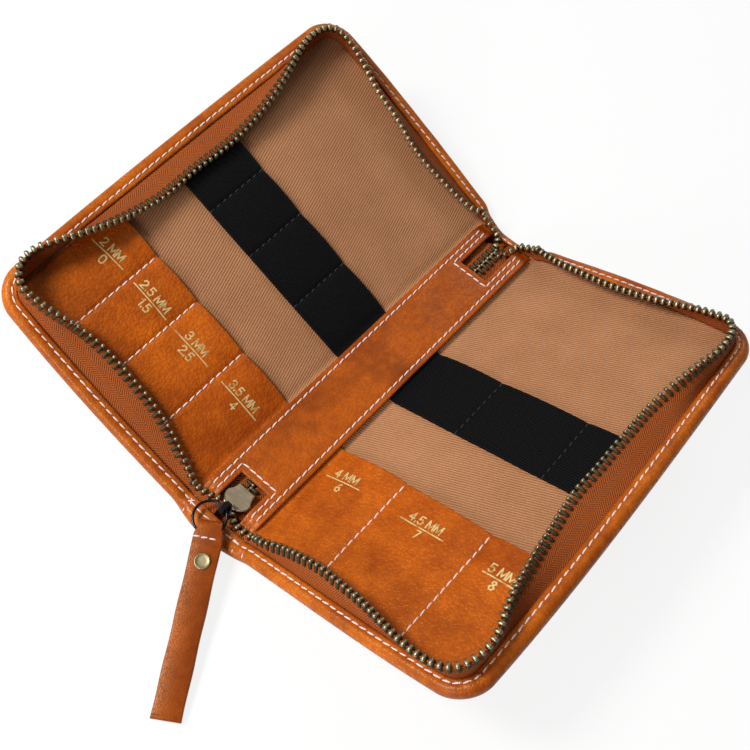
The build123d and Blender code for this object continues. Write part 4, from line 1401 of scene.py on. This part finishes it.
def pullRivet():
    # its profile turned round the rivet's axis
    low, high = (np.array(corner) * 1000 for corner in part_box("pull_rivet"))
    up, down = np.array(strap["up"]), np.array(strap["down"])
    side = np.cross(up, down)
    centre = (low + high) / 2 + side * strap["shift"] * rivet["share"]
    cap, foot = np.array(rivet["cap"]), np.array(rivet["foot"])
    far = rivet["radius"] * np.concatenate([foot[:, 0], cap[:, 0]])[:, None, None]
    rise = np.concatenate([rivet["footHeight"] + foot[:, 1], rivet["capHeight"] + rivet["rise"] * cap[:, 1]])
    a = np.linspace(0, 2 * math.pi, 49)[:-1, None]
    points = centre + far * (np.cos(a) * down + np.sin(a) * side) + rise[:, None, None] * up
    piece = gridPiece("pullRivet", points, finish["rivet"], closedV=True, merge=0.0005)
    bodyPiece(piece, "pull", "rivet_brass", "pull_rivet")


strapLeather()
pullRing()
pullRivet()
print("strap made")


# ---- light, floor and camera

setup = {
    "place": (0.09736, -0.14965, 0.32373), "lens": 52.59, "sky": 0.14,
    "right": (0.7502, 0.6567, 0.077), "up": (-0.6069, 0.6378, 0.4742), "back": (0.2623, -0.4025, 0.8771),
    "floorHeight": -0.13, "floorReach": 3000.0, "floorGlow": 0.85,
}
# place, size and power of each lamp, and its colour
lamps = {
    "key": ((-0.42, -0.38, 0.72), 0.28, 8.3, (1.0, 0.985, 0.96)),
    "fill": ((-0.2, 0.65, 0.6), 0.5, 1.9, (0.97, 0.98, 1.0)),
    "side": ((0.08, -0.82, 0.38), 0.3, 3.6, (1.0, 0.99, 0.97)),
}


def areaLight(name, place, size, power, colour):
    # a disk that faces the middle of the case
    data = bpy.data.lights.new(name, "AREA")
    data.shape, data.size, data.energy, data.color = "DISK", size, power, colour
    lamp = bpy.data.objects.new(name, data)
    lamp.location = place
    lamp.rotation_euler = (-Vector(place)).to_track_quat("-Z", "Y").to_euler()
    bpy.context.scene.collection.objects.link(lamp)


def paleFloor():
    # a wide level plane: what looks at it sees mostly an even glow, what it lights sees the paint
    f = Finish("paleFloor")
    paint = f.node("ShaderNodeBsdfPrincipled", {}, {"Base Color": (0.86, 0.86, 0.86), "Roughness": 0.9})
    glow = f.node("ShaderNodeEmission", {}, {"Color": (1, 1, 1), "Strength": 1.0})
    camera, glossy, through = (f.node("ShaderNodeLightPath", output=f"Is {kind} Ray")
                               for kind in ("Camera", "Glossy", "Transmission"))
    share = (camera + glossy + through) * setup["floorGlow"]
    f.ending(f.node("ShaderNodeMixShader", {}, {"Fac": share, 1: paint, 2: glow}))
    corners = np.array([(-1, -1, 0), (1, -1, 0), (1, 1, 0), (-1, 1, 0)]) * setup["floorReach"]
    floor = newPiece("floor", corners + [0, 0, setup["floorHeight"]], np.array([[0, 1, 2, 3]]), f.material)


for name, values in lamps.items():
    areaLight(name, *values)
paleFloor()
world = bpy.data.worlds.new("studio")
bpy.context.scene.world = world
world.use_nodes = True
sky = world.node_tree.nodes["Background"].inputs
sky["Color"].default_value = (1, 1, 1, 1)
sky["Strength"].default_value = setup["sky"]

cameraData = bpy.data.cameras.new("camera")
cameraData.lens, cameraData.sensor_width = setup["lens"], 36
cameraData.clip_start = 0.01
camera = bpy.data.objects.new("camera", cameraData)
turn = Matrix([setup["right"], setup["up"], setup["back"]]).transposed()
camera.matrix_world = Matrix.Translation(setup["place"]) @ turn.to_4x4()
bpy.context.scene.collection.objects.link(camera)
bpy.context.scene.camera = camera
bpy.context.scene.view_settings.view_transform = "Standard"
